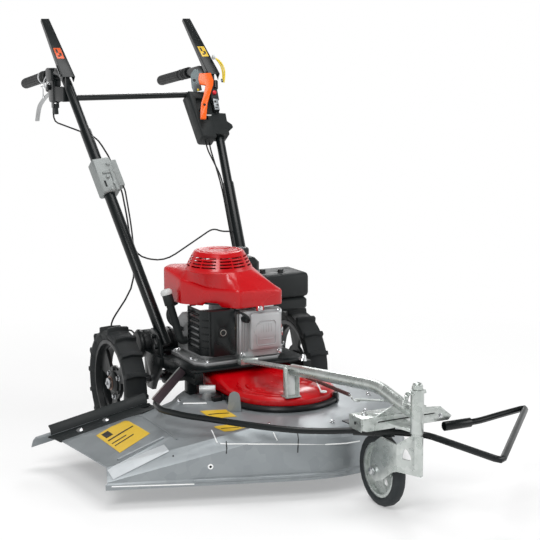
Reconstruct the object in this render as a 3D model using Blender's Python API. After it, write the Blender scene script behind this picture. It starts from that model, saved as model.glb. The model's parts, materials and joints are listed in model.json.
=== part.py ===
"""Self-propelled high-grass mower with a side chute, a trailing castor and a rear drive axle.

All sizes are metres. The front of the machine faces -Y, its right-hand side faces -X and +Z is up.
While the parts are built, X = 0 lies half-way between the rear wheels and Y = 0 on the rear axle.
The last step moves everything so that the footprint is centred on the origin.
"""
import math

import bmesh
import bpy
from mathutils import Matrix, Vector

# Fits
GAP = 0.0003
RUN_GAP = 0.0006
MERGE = 0.000002
FLAT_ANGLE = math.radians(0.05)

# Rear wheels
WHEEL_RADIUS = 0.168
WHEEL_TRACK_HALF = 0.294
TYRE_WIDTH = 0.068
TYRE_BEAD_RADIUS = 0.126
BEAD_HALF = 0.023
LUG_HEIGHT = 0.011
LUG_COUNT = 16
AXLE_RADIUS = 0.010

# Castor
CASTOR_RADIUS = 0.094
CASTOR_WIDTH = 0.034
CASTOR_X = 0.080
CASTOR_SPINDLE_Y = -1.030
CASTOR_TRAIL = 0.157
CASTOR_RIM_RADIUS = 0.071
CASTOR_SIDES = 24
SPINDLE_RADIUS = 0.008
HOUSING_RADIUS = 0.0165
HOUSING_BOTTOM = 0.228
HOUSING_TOP = 0.336
FORK_SHEET = 0.005
FORK_TOP = 0.190

# Deck
BLADE_X = 0.030
DECK_Y = -0.420
DECK_RADIUS = 0.335
DECK_TOP = 0.178
DECK_SHOULDER = 0.172
DECK_RIM = 0.142
DECK_BOTTOM = 0.050
DECK_SHEET = 0.003
DECK_HOLE_RADIUS = 0.045
CHUTE_X = -0.545
CHUTE_FRONT_Y = -0.583
CHUTE_REAR_Y = -0.270
CHUTE_HEIGHT = 0.100
CHUTE_REAR_ANGLE = math.radians(152.0)
SEAL_REAR_Y = -0.214

# Belt drive and blade
CRANK_X = -0.028
CRANK_Y = -0.140
ENGINE_PULLEY_RADIUS = 0.036
BLADE_PULLEY_RADIUS = 0.062
BELT_HEIGHT = 0.008
PULLEY_BOTTOM = 0.1885
PULLEY_HEIGHT = 0.016
PULLEY_GROOVE = 0.007
BELT_LOW = PULLEY_BOTTOM + (PULLEY_HEIGHT - BELT_HEIGHT) / 2.0
BLADE_HALF_LENGTH = 0.290
BLADE_WIDTH = 0.058
BLADE_THICKNESS = 0.005
BLADE_HEIGHT = 0.072
BLADE_SHAFT_RADIUS = 0.0125

# Belt cover
COVER_X = 0.030
COVER_RADIUS = 0.147
COVER_BOTTOM = 0.194
COVER_TOP = 0.216
COVER_RAMP_TOP = 0.241
COVER_SHEET = 0.002

# Frame and engine
PLATE_BOTTOM = 0.2455
PLATE_THICKNESS = 0.005
RAIL_X = 0.170
RAIL_WIDTH = 0.026
RAIL_BOTTOM = 0.214
CRANKCASE_TOP = 0.372
SHROUD_BOTTOM = 0.412
DOME_BASE = 0.506
DOME_TOP = 0.560
DOME_RADIUS = 0.095
DOME_TOP_RADIUS = 0.067
SHROUD_SHEET = 0.0025
INTAKE_RADIUS = 0.014
CLEANER_SPLIT = 0.391

# Engine head
HEAD_LEFT = -0.028
HEAD_RIGHT = 0.108
HEAD_BOTTOM = 0.264
HEAD_TOP = 0.400
HEAD_FACE_Y = -0.272

# Front bracket and guard tube
BRACKET_BOTTOM = 0.2165
BUMPER_Z = 0.2035
BUMPER_RADIUS = 0.0085
BUMPER_SLEEVE_RADIUS = 0.0122
BUMPER_TIP_X = 0.176
BUMPER_TIP_Y = -1.242
BUMPER_CORNER_X = 0.508
BUMPER_SOCKET_Y = -0.940

# Handlebar
HANDLE_FOOT_X = 0.148
HANDLE_FOOT_Y = -0.029
HANDLE_FOOT_Z = 0.262
HANDLE_TOP_X = 0.251
HANDLE_TOP_Y = 0.545
HANDLE_TOP_Z = 1.060
TUBE_RADIUS = 0.0145
LOWER_TUBE_RADIUS = 0.0175
GRIP_RADIUS = 0.0175
GRIP_DROP = 0.054
GRIP_END_Y = HANDLE_TOP_Y + 0.400
GRIP_END_Z = HANDLE_TOP_Z - GRIP_DROP
GRIP_START_Y = HANDLE_TOP_Y + 0.145
LEVER_PIVOT_Y = HANDLE_TOP_Y - 0.042
LEVER_PIVOT_Z = HANDLE_TOP_Z - 0.014
LEVER_LENGTH = 0.271
LEVER_RISE = math.radians(39.0)
LEVER_HALF_WIDTH = 0.0200
LEVER_TIP_HALF_WIDTH = 0.0135
LEVER_SHEET = 0.002
CROSS_BAR_RADIUS = 0.0095
CROSS_BAR_Z = 0.975
CABLE_ROOM = 0.010
SHIFTER_OFFSET = 0.046

BLACK = (0.020, 0.026, 0.027)
DARK = (0.010, 0.012, 0.013)
RUBBER = (0.016, 0.018, 0.019)
RED = (0.62, 0.008, 0.012)
DECK_GREY = (0.36, 0.38, 0.39)
ZINC = (0.50, 0.52, 0.48)
SILVER = (0.55, 0.55, 0.56)
ORANGE = (0.95, 0.16, 0.02)
STEEL = (0.42, 0.43, 0.44)


def clear_scene():
    for obj in list(bpy.data.objects):
        bpy.data.objects.remove(obj, do_unlink=True)


def material(name, colour, metallic, roughness):
    made = bpy.data.materials.new(name)
    made.use_nodes = True
    shader = made.node_tree.nodes["Principled BSDF"]
    shader.inputs["Base Color"].default_value = (colour[0], colour[1], colour[2], 1.0)
    shader.inputs["Metallic"].default_value = metallic
    shader.inputs["Roughness"].default_value = roughness
    return made


def paint(obj, colour, metallic=0.0, roughness=0.5):
    obj.data.materials.clear()
    obj.data.materials.append(material("mat_" + obj.name, colour, metallic, roughness))
    return obj


def object_from(name, vertices, faces):
    mesh = bpy.data.meshes.new(name)
    mesh.from_pydata([tuple(v) for v in vertices], [], faces)
    mesh.update()
    obj = bpy.data.objects.new(name, mesh)
    bpy.context.scene.collection.objects.link(obj)
    tidy(obj)
    return obj


def tidy(obj):
    shape = bmesh.new()
    shape.from_mesh(obj.data)
    bmesh.ops.recalc_face_normals(shape, faces=shape.faces)
    shape.to_mesh(obj.data)
    shape.free()


def moved(obj, matrix):
    """Moves the shape itself; a mirroring matrix also gets its faces turned outwards again."""
    obj.data.transform(matrix)
    obj.data.update()
    if matrix.determinant() < 0.0:
        tidy(obj)
    return obj


def set_origin(obj, point):
    """Puts the object's origin on its joint without moving the shape."""
    obj.data.transform(Matrix.Translation(-Vector(point)))
    obj.location = Vector(point)
    return obj


def combine(target, operand, operation="UNION"):
    """Joins or cuts two closed shapes and keeps the result in the target."""
    step = target.modifiers.new("combine", "BOOLEAN")
    step.object = operand
    step.operation = operation
    step.solver = "EXACT"
    bpy.context.view_layer.update()
    graph = bpy.context.evaluated_depsgraph_get()
    result = bpy.data.meshes.new_from_object(target.evaluated_get(graph))
    target.modifiers.clear()
    target.data = result
    bpy.data.objects.remove(operand, do_unlink=True)
    shape = bmesh.new()
    shape.from_mesh(result)
    bmesh.ops.remove_doubles(shape, verts=shape.verts, dist=MERGE)
    bmesh.ops.dissolve_degenerate(shape, edges=shape.edges, dist=MERGE)
    bmesh.ops.dissolve_limit(shape, angle_limit=FLAT_ANGLE, verts=shape.verts, edges=shape.edges)
    shape.to_mesh(result)
    shape.free()
    return target


def box(name, low, high):
    (x0, y0, z0), (x1, y1, z1) = low, high
    vertices = [(x, y, z) for z in (z0, z1) for y in (y0, y1) for x in (x0, x1)]
    faces = [(0, 2, 3, 1), (4, 5, 7, 6), (0, 1, 5, 4), (2, 6, 7, 3), (0, 4, 6, 2), (1, 3, 7, 5)]
    return object_from(name, vertices, faces)


def rounded(obj, width, segments=2):
    """Rounds the edges of a simple shape."""
    shape = bmesh.new()
    shape.from_mesh(obj.data)
    sharp = [e for e in shape.edges if len(e.link_faces) == 2 and e.calc_face_angle(0.0) > 0.5]
    bmesh.ops.bevel(shape, geom=sharp, offset=width, segments=segments, profile=0.5,
                    affect="EDGES", clamp_overlap=True)
    shape.to_mesh(obj.data)
    shape.free()
    return obj


def frame_matrix(origin, along, sideways=None):
    """Local Z points along the given direction and local X sideways."""
    z_axis = Vector(along).normalized()
    guess = Vector(sideways) if sideways else Vector((1.0, 0.0, 0.0))
    if abs(guess.normalized().dot(z_axis)) > 0.98:
        guess = Vector((0.0, 1.0, 0.0))
    x_axis = (guess - z_axis * guess.dot(z_axis)).normalized()
    y_axis = z_axis.cross(x_axis)
    matrix = Matrix((x_axis, y_axis, z_axis)).transposed().to_4x4()
    matrix.translation = Vector(origin)
    return matrix


def lathe(name, profile, segments, matrix=None):
    """Turns (radius, height) points; a radius of zero makes a closed tip on the axis."""
    vertices = []
    rings = []
    for radius, height in profile:
        if radius < 1e-9:
            rings.append([len(vertices)])
            vertices.append(Vector((0.0, 0.0, height)))
            continue
        ring = []
        for step in range(segments):
            angle = 2.0 * math.pi * step / segments
            ring.append(len(vertices))
            vertices.append(Vector((radius * math.cos(angle), radius * math.sin(angle), height)))
        rings.append(ring)
    closed = len(rings[0]) > 1
    pairs = list(zip(rings, rings[1:]))
    if closed:
        pairs.append((rings[-1], rings[0]))
    faces = []
    for lower, upper in pairs:
        if len(lower) == 1 and len(upper) == 1:
            continue
        for step in range(segments):
            after = (step + 1) % segments
            if len(lower) == 1:
                faces.append((lower[0], upper[after], upper[step]))
            elif len(upper) == 1:
                faces.append((lower[step], lower[after], upper[0]))
            else:
                faces.append((lower[step], lower[after], upper[after], upper[step]))
    obj = object_from(name, vertices, faces)
    if matrix:
        moved(obj, matrix)
    return obj


def rod(name, start, end, radius, segments=16):
    start, end = Vector(start), Vector(end)
    length = (end - start).length
    profile = [(0.0, 0.0), (radius, 0.0), (radius, length), (0.0, length)]
    return lathe(name, profile, segments, frame_matrix(start, end - start))


def pipe(name, start, end, radius, bore, segments=24):
    start, end = Vector(start), Vector(end)
    length = (end - start).length
    profile = [(bore, 0.0), (radius, 0.0), (radius, length), (bore, length)]
    return lathe(name, profile, segments, frame_matrix(start, end - start))


def prism(name, outline, low, high, holes=(), matrix=None):
    """Raises a flat outline, with any holes, from one height to another."""
    shape = bmesh.new()
    loops = []
    for loop in [outline] + list(holes):
        corners = [shape.verts.new((p[0], p[1], low)) for p in loop]
        edges = [shape.edges.new((corners[i], corners[(i + 1) % len(corners)]))
                 for i in range(len(corners))]
        loops.append(edges)
    flat_edges = [edge for edges in loops for edge in edges]
    bmesh.ops.triangle_fill(shape, edges=flat_edges, use_beauty=True)
    raised = bmesh.ops.extrude_face_region(shape, geom=list(shape.faces))
    lifted = [item for item in raised["geom"] if isinstance(item, bmesh.types.BMVert)]
    bmesh.ops.translate(shape, verts=lifted, vec=(0.0, 0.0, high - low))
    bmesh.ops.recalc_face_normals(shape, faces=shape.faces)
    mesh = bpy.data.meshes.new(name)
    shape.to_mesh(mesh)
    shape.free()
    obj = bpy.data.objects.new(name, mesh)
    bpy.context.scene.collection.objects.link(obj)
    if matrix:
        moved(obj, matrix)
    return obj


def circle(radius, segments, centre=(0.0, 0.0), start=0.0):
    points = []
    for step in range(segments):
        angle = start + 2.0 * math.pi * step / segments
        points.append((centre[0] + radius * math.cos(angle), centre[1] + radius * math.sin(angle)))
    return points


def smooth_path(points, bend, steps):
    """Rounds every inner corner of a path with a short arc."""
    corners = [Vector(p) for p in points]
    path = [corners[0]]
    for before, corner, after in zip(corners, corners[1:], corners[2:]):
        towards = (before - corner).normalized()
        onwards = (after - corner).normalized()
        reach = min(bend, 0.45 * (before - corner).length, 0.45 * (after - corner).length)
        first = corner + towards * reach
        last = corner + onwards * reach
        for step in range(steps + 1):
            t = step / steps
            path.append(first * (1 - t) ** 2 + corner * 2 * t * (1 - t) + last * t ** 2)
    path.append(corners[-1])
    return path


def sweep(name, path, section, radii=None):
    """Carries a closed section along a path; the section turns as little as possible."""
    path = [Vector(p) for p in path]
    tangents = []
    for index in range(len(path)):
        before = path[max(index - 1, 0)]
        after = path[min(index + 1, len(path) - 1)]
        tangents.append((after - before).normalized())
    across = tangents[0].cross(Vector((0.0, 0.0, 1.0)))
    if across.length < 0.05:
        across = Vector((1.0, 0.0, 0.0))
    across.normalize()
    vertices = []
    count = len(section)
    for index, point in enumerate(path):
        across = (across - tangents[index] * across.dot(tangents[index])).normalized()
        upward = across.cross(tangents[index])
        scale = radii[index] if radii else 1.0
        for u, v in section:
            vertices.append(point + across * u * scale + upward * v * scale)
    faces = []
    for index in range(len(path) - 1):
        low, high = index * count, (index + 1) * count
        for step in range(count):
            after = (step + 1) % count
            faces.append((low + step, low + after, high + after, high + step))
    faces.append(tuple(reversed(range(count))))
    faces.append(tuple(range((len(path) - 1) * count, len(path) * count)))
    return object_from(name, vertices, faces)


def hex_bolt(name, point, along, across_flats, height):
    outline = circle(across_flats / math.sqrt(3.0), 6)
    return prism(name, outline, 0.0, height, matrix=frame_matrix(point, along))


def cable(name, points, radius, bend=0.06, steps=8):
    """A covered cable as a curve with closed ends."""
    path = smooth_path(points, bend, steps)
    curve = bpy.data.curves.new(name, "CURVE")
    curve.dimensions = "3D"
    spline = curve.splines.new("POLY")
    spline.points.add(len(path) - 1)
    for index, point in enumerate(path):
        spline.points[index].co = (point.x, point.y, point.z, 1.0)
    curve.bevel_depth = radius
    curve.bevel_resolution = 2
    curve.use_fill_caps = True
    obj = bpy.data.objects.new(name, curve)
    bpy.context.scene.collection.objects.link(obj)
    return obj


def handle_point(side, height):
    """Centre of the handlebar tube at a height; side is -1 on the machine's right."""
    t = (height - HANDLE_FOOT_Z) / (HANDLE_TOP_Z - HANDLE_FOOT_Z)
    x = HANDLE_FOOT_X + (HANDLE_TOP_X - HANDLE_FOOT_X) * t
    y = HANDLE_FOOT_Y + (HANDLE_TOP_Y - HANDLE_FOOT_Y) * t
    return Vector((side * x, y, height))


def handle_frame(side, height):
    """Matrix on the tube: local Z up along it, local X pointing to the machine's left."""
    along = handle_point(side, height + 0.1) - handle_point(side, height)
    return frame_matrix(handle_point(side, height), along, (1.0, 0.0, 0.0))


def build_tyre(name, centre):
    """Rubber tyre with narrow bars across its tread that lean a little at the sidewalls."""
    half = TYRE_WIDTH / 2.0
    base = WHEEL_RADIUS - LUG_HEIGHT
    pitch = 2.0 * math.pi / LUG_COUNT
    columns = [(0.0, False), (0.03, True), (0.20, True), (0.23, False), (0.615, False)]
    widest_step = (1.0 - columns[-1][0]) * pitch
    bead = TYRE_BEAD_RADIUS / math.cos(widest_step / 2.0)
    low_and_high = [
        (-BEAD_HALF, bead, bead),
        (-half, base - 0.014, base - 0.010),
        (-half + 0.003, base - 0.003, WHEEL_RADIUS - 0.002),
        (0.0, base, WHEEL_RADIUS),
        (half - 0.003, base - 0.003, WHEEL_RADIUS - 0.002),
        (half, base - 0.014, base - 0.010),
        (BEAD_HALF, bead, bead),
    ]
    vertices = []
    for lug in range(LUG_COUNT):
        for fraction, raised in columns:
            for x, low, high in low_and_high:
                lean = 0.06 * pitch * abs(x) / half if low > base - 0.02 else 0.0
                angle = pitch * (lug + fraction) + lean
                radius = high if raised else low
                vertices.append((centre[0] + x, centre[1] + radius * math.cos(angle),
                                 centre[2] + radius * math.sin(angle)))
    count = len(low_and_high)
    total = LUG_COUNT * len(columns)
    faces = []
    for column in range(total):
        here, there = column * count, ((column + 1) % total) * count
        for row in range(count):
            after = (row + 1) % count
            faces.append((here + row, here + after, there + after, there + row))
    tyre = object_from(name, vertices, faces)
    paint(tyre, RUBBER, 0.0, 0.85)
    return set_origin(tyre, centre)


def ring_sector(inner, outer, start, stop, steps):
    points = []
    for step in range(steps + 1):
        angle = start + (stop - start) * step / steps
        points.append((outer * math.cos(angle), outer * math.sin(angle)))
    for step in range(steps + 1):
        angle = stop + (start - stop) * step / steps
        points.append((inner * math.cos(angle), inner * math.sin(angle)))
    return points


def build_rear_wheel(side, label):
    centre = (side * WHEEL_TRACK_HALF, 0.0, WHEEL_RADIUS)
    build_tyre("tyre_" + label, centre)
    outward = frame_matrix(centre, (side, 0.0, 0.0), (0.0, 1.0, 0.0))
    seat = TYRE_BEAD_RADIUS - GAP
    lip = BEAD_HALF + 0.0032
    ledge = BEAD_HALF + 0.0006
    barrel = lathe("rim_" + label, [(seat - 0.009, -lip), (seat + 0.003, -lip), (seat, -ledge),
                                    (seat, ledge), (seat + 0.003, lip), (seat - 0.009, lip)],
                   26, outward)
    windows = []
    for spoke in range(3):
        middle = math.radians(90.0 + 120.0 * spoke + 60.0)
        spread = math.radians(39.0)
        windows.append(ring_sector(0.050, 0.108, middle - spread, middle + spread, 4))
    web = prism("web", circle(seat - 0.005, 26), 0.000, 0.010, windows, outward)
    hub = lathe("hub", [(0.0, -0.030), (0.030, -0.030), (0.034, 0.014), (0.022, 0.022),
                        (0.0, 0.022)], 14, outward)
    combine(barrel, web)
    combine(barrel, hub)
    bore = rod("bore", Vector(centre) - Vector((side * 0.05, 0, 0)),
               Vector(centre) + Vector((side * 0.05, 0, 0)), AXLE_RADIUS + GAP)
    combine(barrel, bore, "DIFFERENCE")
    for step in range(3):
        angle = math.radians(120.0 * step + 30.0)
        spot = outward @ Vector((0.0415 * math.cos(angle), 0.0415 * math.sin(angle), 0.006))
        combine(barrel, hex_bolt("bolt", spot, (side, 0, 0), 0.010, 0.010))
    paint(barrel, BLACK, 0.0, 0.45)
    set_origin(barrel, centre)
    shaft = lathe("half_shaft_" + label,
                  [(0.0, 0.004), (AXLE_RADIUS, 0.004), (AXLE_RADIUS, WHEEL_TRACK_HALF + 0.024),
                   (0.016, WHEEL_TRACK_HALF + 0.024), (0.016, WHEEL_TRACK_HALF + 0.031),
                   (0.0, WHEEL_TRACK_HALF + 0.031)], 16,
                  frame_matrix((0.0, 0.0, WHEEL_RADIUS), (side, 0, 0), (0, 1, 0)))
    paint(shaft, STEEL, 0.9, 0.35)
    set_origin(shaft, centre)


def build_castor():
    axle = Vector((CASTOR_X, CASTOR_SPINDLE_Y + CASTOR_TRAIL, CASTOR_RADIUS))
    across = frame_matrix(axle, (1, 0, 0), (0, 1, 0))
    half = CASTOR_WIDTH / 2.0
    tyre = lathe("castor_tyre", [
        (CASTOR_RIM_RADIUS, -half + 0.003), (CASTOR_RIM_RADIUS + 0.006, -half),
        (CASTOR_RADIUS - 0.009, -half + 0.001), (CASTOR_RADIUS - 0.003, -half + 0.005),
        (CASTOR_RADIUS, -half + 0.011), (CASTOR_RADIUS, half - 0.011),
        (CASTOR_RADIUS - 0.003, half - 0.005), (CASTOR_RADIUS - 0.009, half - 0.001),
        (CASTOR_RIM_RADIUS + 0.006, half), (CASTOR_RIM_RADIUS, half - 0.003)], CASTOR_SIDES, across)
    paint(tyre, (0.035, 0.037, 0.04), 0.0, 0.8)
    set_origin(tyre, axle)

    seat = CASTOR_RIM_RADIUS - GAP
    rim = lathe("castor_rim", [(seat - 0.008, -half + 0.004), (seat, -half + 0.004),
                               (seat, half - 0.004), (seat - 0.008, half - 0.004)], CASTOR_SIDES,
                across)
    holes = [circle(0.011, 8, (0.036 * math.cos(a), 0.036 * math.sin(a)))
             for a in [math.radians(72.0 * k + 20.0) for k in range(5)]]
    combine(rim, prism("disc", circle(seat - 0.002, CASTOR_SIDES), -0.003, 0.003, holes, across))
    combine(rim, lathe("hub", [(0.0, -half), (0.018, -half), (0.018, half), (0.0, half)], 14, across))
    combine(rim, rod("bore", axle - Vector((0.03, 0, 0)), axle + Vector((0.03, 0, 0)),
                     0.006 + RUN_GAP), "DIFFERENCE")
    paint(rim, ZINC, 0.8, 0.4)
    set_origin(rim, axle)

    clear = half + 0.005
    bolt = lathe("castor_axle", [(0.0, -clear - 0.011), (0.011, -clear - 0.011),
                                 (0.011, -clear - 0.0053), (0.006, -clear - 0.0053),
                                 (0.006, half + RUN_GAP), (0.011, half + RUN_GAP),
                                 (0.011, half + 0.007), (0.0, half + 0.007)], 6, across)
    paint(bolt, STEEL, 0.9, 0.35)
    set_origin(bolt, axle)

    # One bent plate: a cheek beside the wheel, and a front part that is welded to the spindle
    sheet = FORK_SHEET
    face = CASTOR_X - clear - sheet
    bend_y = axle.y - CASTOR_RADIUS - 0.016
    side_on = Matrix(((0, 0, 1, 0), (1, 0, 0, 0), (0, 1, 0, 0), (0, 0, 0, 1)))
    fork = prism("castor_fork", [
        (bend_y, 0.122), (bend_y + 0.024, 0.113), (axle.y - 0.043, 0.081), (axle.y - 0.012, 0.070),
        (axle.y + 0.012, 0.076), (axle.y + 0.019, 0.094), (axle.y + 0.012, 0.128),
        (axle.y - 0.010, 0.174), (axle.y - 0.034, FORK_TOP), (bend_y, FORK_TOP)],
        face, face + sheet, (), side_on)
    begin = Vector((face + sheet / 2.0, bend_y + 0.002, 0.0))
    finish = Vector((CASTOR_X + 0.004, CASTOR_SPINDLE_Y - 0.020, 0.0))
    way = (finish - begin).normalized()
    length = (finish - begin).length
    front_on = Matrix(((way.x, 0, way.y, begin.x), (way.y, 0, -way.x, begin.y), (0, 1, 0, 0),
                       (0, 0, 0, 1)))
    window = [(0.0150, 0.160), (0.0170, 0.157), (0.0390, 0.1575), (0.0430, 0.162), (0.0405, 0.170),
              (0.0330, 0.180), (0.0270, 0.1845), (0.0220, 0.183), (0.0160, 0.168)]
    front = prism("front", [
        (0.0, 0.122), (length - 0.003, 0.122), (length, 0.125), (length, HOUSING_BOTTOM - 0.0055),
        (length - 0.028, HOUSING_BOTTOM - 0.0055), (0.006, FORK_TOP + 0.006), (0.0, FORK_TOP)],
        -sheet / 2.0, sheet / 2.0, [window], front_on)
    combine(fork, front)
    combine(fork, rod("bore", axle - Vector((0.05, 0, 0)), axle + Vector((0.05, 0, 0)),
                      0.006 + GAP), "DIFFERENCE")
    stem = (CASTOR_X, CASTOR_SPINDLE_Y, 0.0)
    spindle = lathe("spindle", [
        (0.0, 0.140), (SPINDLE_RADIUS, 0.140), (SPINDLE_RADIUS, HOUSING_BOTTOM - 0.008),
        (0.014, HOUSING_BOTTOM - 0.006), (0.014, HOUSING_BOTTOM - RUN_GAP),
        (SPINDLE_RADIUS, HOUSING_BOTTOM - RUN_GAP), (SPINDLE_RADIUS, HOUSING_TOP + RUN_GAP),
        (0.0135, HOUSING_TOP + RUN_GAP), (0.0135, HOUSING_TOP + 0.010), (0.0, HOUSING_TOP + 0.014)],
        14, Matrix.Translation(stem))
    combine(fork, spindle)
    paint(fork, ZINC, 0.7, 0.45)
    set_origin(fork, (CASTOR_X, CASTOR_SPINDLE_Y, CASTOR_RADIUS))


def chute_height(x):
    """Height of the chute plate at a distance from the machine's centre."""
    return CHUTE_HEIGHT + (x - CHUTE_X) * 0.20


def deck_stations():
    """Outline points counted anticlockwise with their own heights."""
    centre = Vector((BLADE_X, DECK_Y))
    corner = Vector((CHUTE_X, CHUTE_FRONT_Y))
    reach = corner - centre
    touch = math.atan2(reach.y, reach.x) + math.acos(DECK_RADIUS / reach.length)
    touch_point = centre + DECK_RADIUS * Vector((math.cos(touch), math.sin(touch)))
    rear_angle = CHUTE_REAR_ANGLE + 2.0 * math.pi
    rear_point = centre + DECK_RADIUS * Vector((math.cos(rear_angle), math.sin(rear_angle)))
    if touch < 0.0:
        touch += 2.0 * math.pi
    stations = []
    wall = touch_point - corner
    inward = Vector((-wall.y, wall.x)).normalized()
    for step in range(5):
        t = step / 5.0
        point = corner + wall * t
        top = chute_height(point.x) + 0.020 * t
        stations.append((point, top - 0.030, point + inward * 0.030, top, True))
    for step in range(27):
        angle = touch + (rear_angle - touch) * step / 26.0
        outward = Vector((math.cos(angle), math.sin(angle)))
        blend = max(0.0, 1.0 - step / 5.0, 1.0 - (26 - step) / 5.0)
        low = chute_height(touch_point.x) - 0.010 if step < 13 else chute_height(rear_point.x) - 0.03
        rim = DECK_RIM + (low - DECK_RIM) * blend * 0.4
        stations.append((centre + outward * DECK_RADIUS, rim,
                         centre + outward * (DECK_RADIUS - 0.018), rim + 0.016, True))
    rear_corner = Vector((CHUTE_X - 0.013, CHUTE_REAR_Y))
    for step in range(1, 4):
        t = step / 3.0
        point = rear_point + (rear_corner - rear_point) * t
        height = chute_height(point.x)
        stations.append((point, height, point + Vector((0.006 * t, -0.020)), height + 0.001, False))
    front_corner = corner + inward * 0.030 + Vector((-0.0005, 0.0))
    for step in range(1, 4):
        t = step / 3.0
        point = rear_corner + (front_corner - rear_corner) * t
        height = chute_height(point.x)
        stations.append((point, height, point + Vector((0.020, 0.006 * (1 - 2 * t))),
                         height + 0.004, False))
    return stations


def chute_rear_y(x):
    """Place of the deck's rear edge beside the chute."""
    edge_x = BLADE_X + DECK_RADIUS * math.cos(CHUTE_REAR_ANGLE)
    edge_y = DECK_Y + DECK_RADIUS * math.sin(CHUTE_REAR_ANGLE)
    t = (edge_x - x) / (edge_x - (CHUTE_X - 0.013))
    return edge_y + (CHUTE_REAR_Y - edge_y) * t


def build_deck():
    stations = deck_stations()
    centre = Vector((BLADE_X, DECK_Y))
    vertices = []
    rings = []
    for point, rim, shoulder, top, skirted in stations:
        outward = (point - centre).normalized()
        hole = centre + outward * DECK_HOLE_RADIUS
        flat = centre + outward * 0.235
        edge = centre + outward * (DECK_RADIUS - 0.036)
        flare = point + (outward * 0.006 if skirted else Vector((0.0, 0.0)))
        column = [(hole, DECK_TOP), (flat, DECK_TOP), (edge, DECK_SHOULDER), (shoulder, top),
                  (point, rim)]
        if skirted:
            column += [(point, DECK_BOTTOM + 0.018), (flare, DECK_BOTTOM + 0.014),
                       (flare, DECK_BOTTOM)]
        ring = []
        for place, height in column:
            ring.append(len(vertices))
            vertices.append((place.x, place.y, height))
        rings.append(ring)
    faces = []
    for index, ring in enumerate(rings):
        after = rings[(index + 1) % len(rings)]
        for row in range(min(len(ring), len(after)) - 1):
            faces.append((ring[row], ring[row + 1], after[row + 1], after[row]))
    mesh = bpy.data.meshes.new("mower_deck")
    mesh.from_pydata(vertices, [], faces)
    deck = bpy.data.objects.new("mower_deck", mesh)
    bpy.context.scene.collection.objects.link(deck)
    shape = bmesh.new()
    shape.from_mesh(mesh)
    bmesh.ops.recalc_face_normals(shape, faces=shape.faces)
    if sum(face.normal.z for face in shape.faces) < 0.0:
        bmesh.ops.reverse_faces(shape, faces=shape.faces)
    shape.to_mesh(mesh)
    shape.free()
    thicken(deck, DECK_SHEET)
    paint(deck, DECK_GREY, 0.5, 0.4)
    return deck


def thicken(obj, thickness):
    """Gives a sheet its thickness on the inside."""
    step = obj.modifiers.new("sheet", "SOLIDIFY")
    step.thickness = thickness
    step.offset = -1.0
    step.use_even_offset = True
    bpy.context.view_layer.update()
    graph = bpy.context.evaluated_depsgraph_get()
    result = bpy.data.meshes.new_from_object(obj.evaluated_get(graph))
    obj.modifiers.clear()
    obj.data = result
    tidy(obj)


def build_chute_rear():
    """Black rubber strip behind the chute and the grey deflector that it joins to the deck."""
    left_x, right_x = -0.275, CHUTE_X - 0.016
    steps = 6
    rows = []
    for step in range(steps + 1):
        x = left_x + (right_x - left_x) * step / steps
        low = chute_height(x)
        rows.append([(x, chute_rear_y(x) + 2 * GAP, low - 0.001), (x - 0.010, -0.238, low + 0.002),
                     (x - 0.018, SEAL_REAR_Y, low + 0.001)])
    strip = sheet_from_rows("chute_seal", rows, 0.004)
    paint(strip, RUBBER, 0.0, 0.8)
    rows = []
    for step in range(steps + 1):
        t = step / steps
        x = left_x - 0.018 + (right_x - left_x - 0.022) * t
        low = chute_height(left_x + (right_x - left_x) * t)
        rows.append([(x, SEAL_REAR_Y + 2 * GAP, low + 0.001), (x - 0.006, -0.192, low - 0.002),
                     (x - 0.010, -0.180, low - 0.014), (x - 0.014, -0.176, low - 0.034)])
    deflector = sheet_from_rows("rear_deflector", rows, 0.0025)
    paint(deflector, DECK_GREY, 0.5, 0.4)


def sheet_from_rows(name, rows, thickness):
    vertices = [point for row in rows for point in row]
    count = len(rows[0])
    faces = []
    for index in range(len(rows) - 1):
        for step in range(count - 1):
            low, high = index * count + step, (index + 1) * count + step
            faces.append((low, low + 1, high + 1, high))
    mesh = bpy.data.meshes.new(name)
    mesh.from_pydata(vertices, [], faces)
    obj = bpy.data.objects.new(name, mesh)
    bpy.context.scene.collection.objects.link(obj)
    shape = bmesh.new()
    shape.from_mesh(mesh)
    if sum(face.normal.z * face.calc_area() for face in shape.faces) < 0.0:
        bmesh.ops.reverse_faces(shape, faces=shape.faces)
    shape.to_mesh(mesh)
    shape.free()
    thicken(obj, thickness)
    return obj


def cover_outline():
    points = []
    for step in range(21):
        angle = math.radians(180.0 + 215.0 * step / 20.0)
        points.append((COVER_X + COVER_RADIUS * math.cos(angle),
                       DECK_Y + COVER_RADIUS * math.sin(angle)))
    points += [(0.140, -0.290), (0.128, -0.232), (0.085, -0.225), (0.062, -0.095), (0.030, -0.068),
               (-0.086, -0.068),
               (-0.116, -0.095), (-0.122, -0.205), (-0.132, -0.232), (COVER_X - COVER_RADIUS, -0.300)]
    return points


def cover_height(y):
    ramp = min(max((y + 0.375) / 0.130, 0.0), 1.0)
    return COVER_TOP + (COVER_RAMP_TOP - COVER_TOP) * ramp


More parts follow.
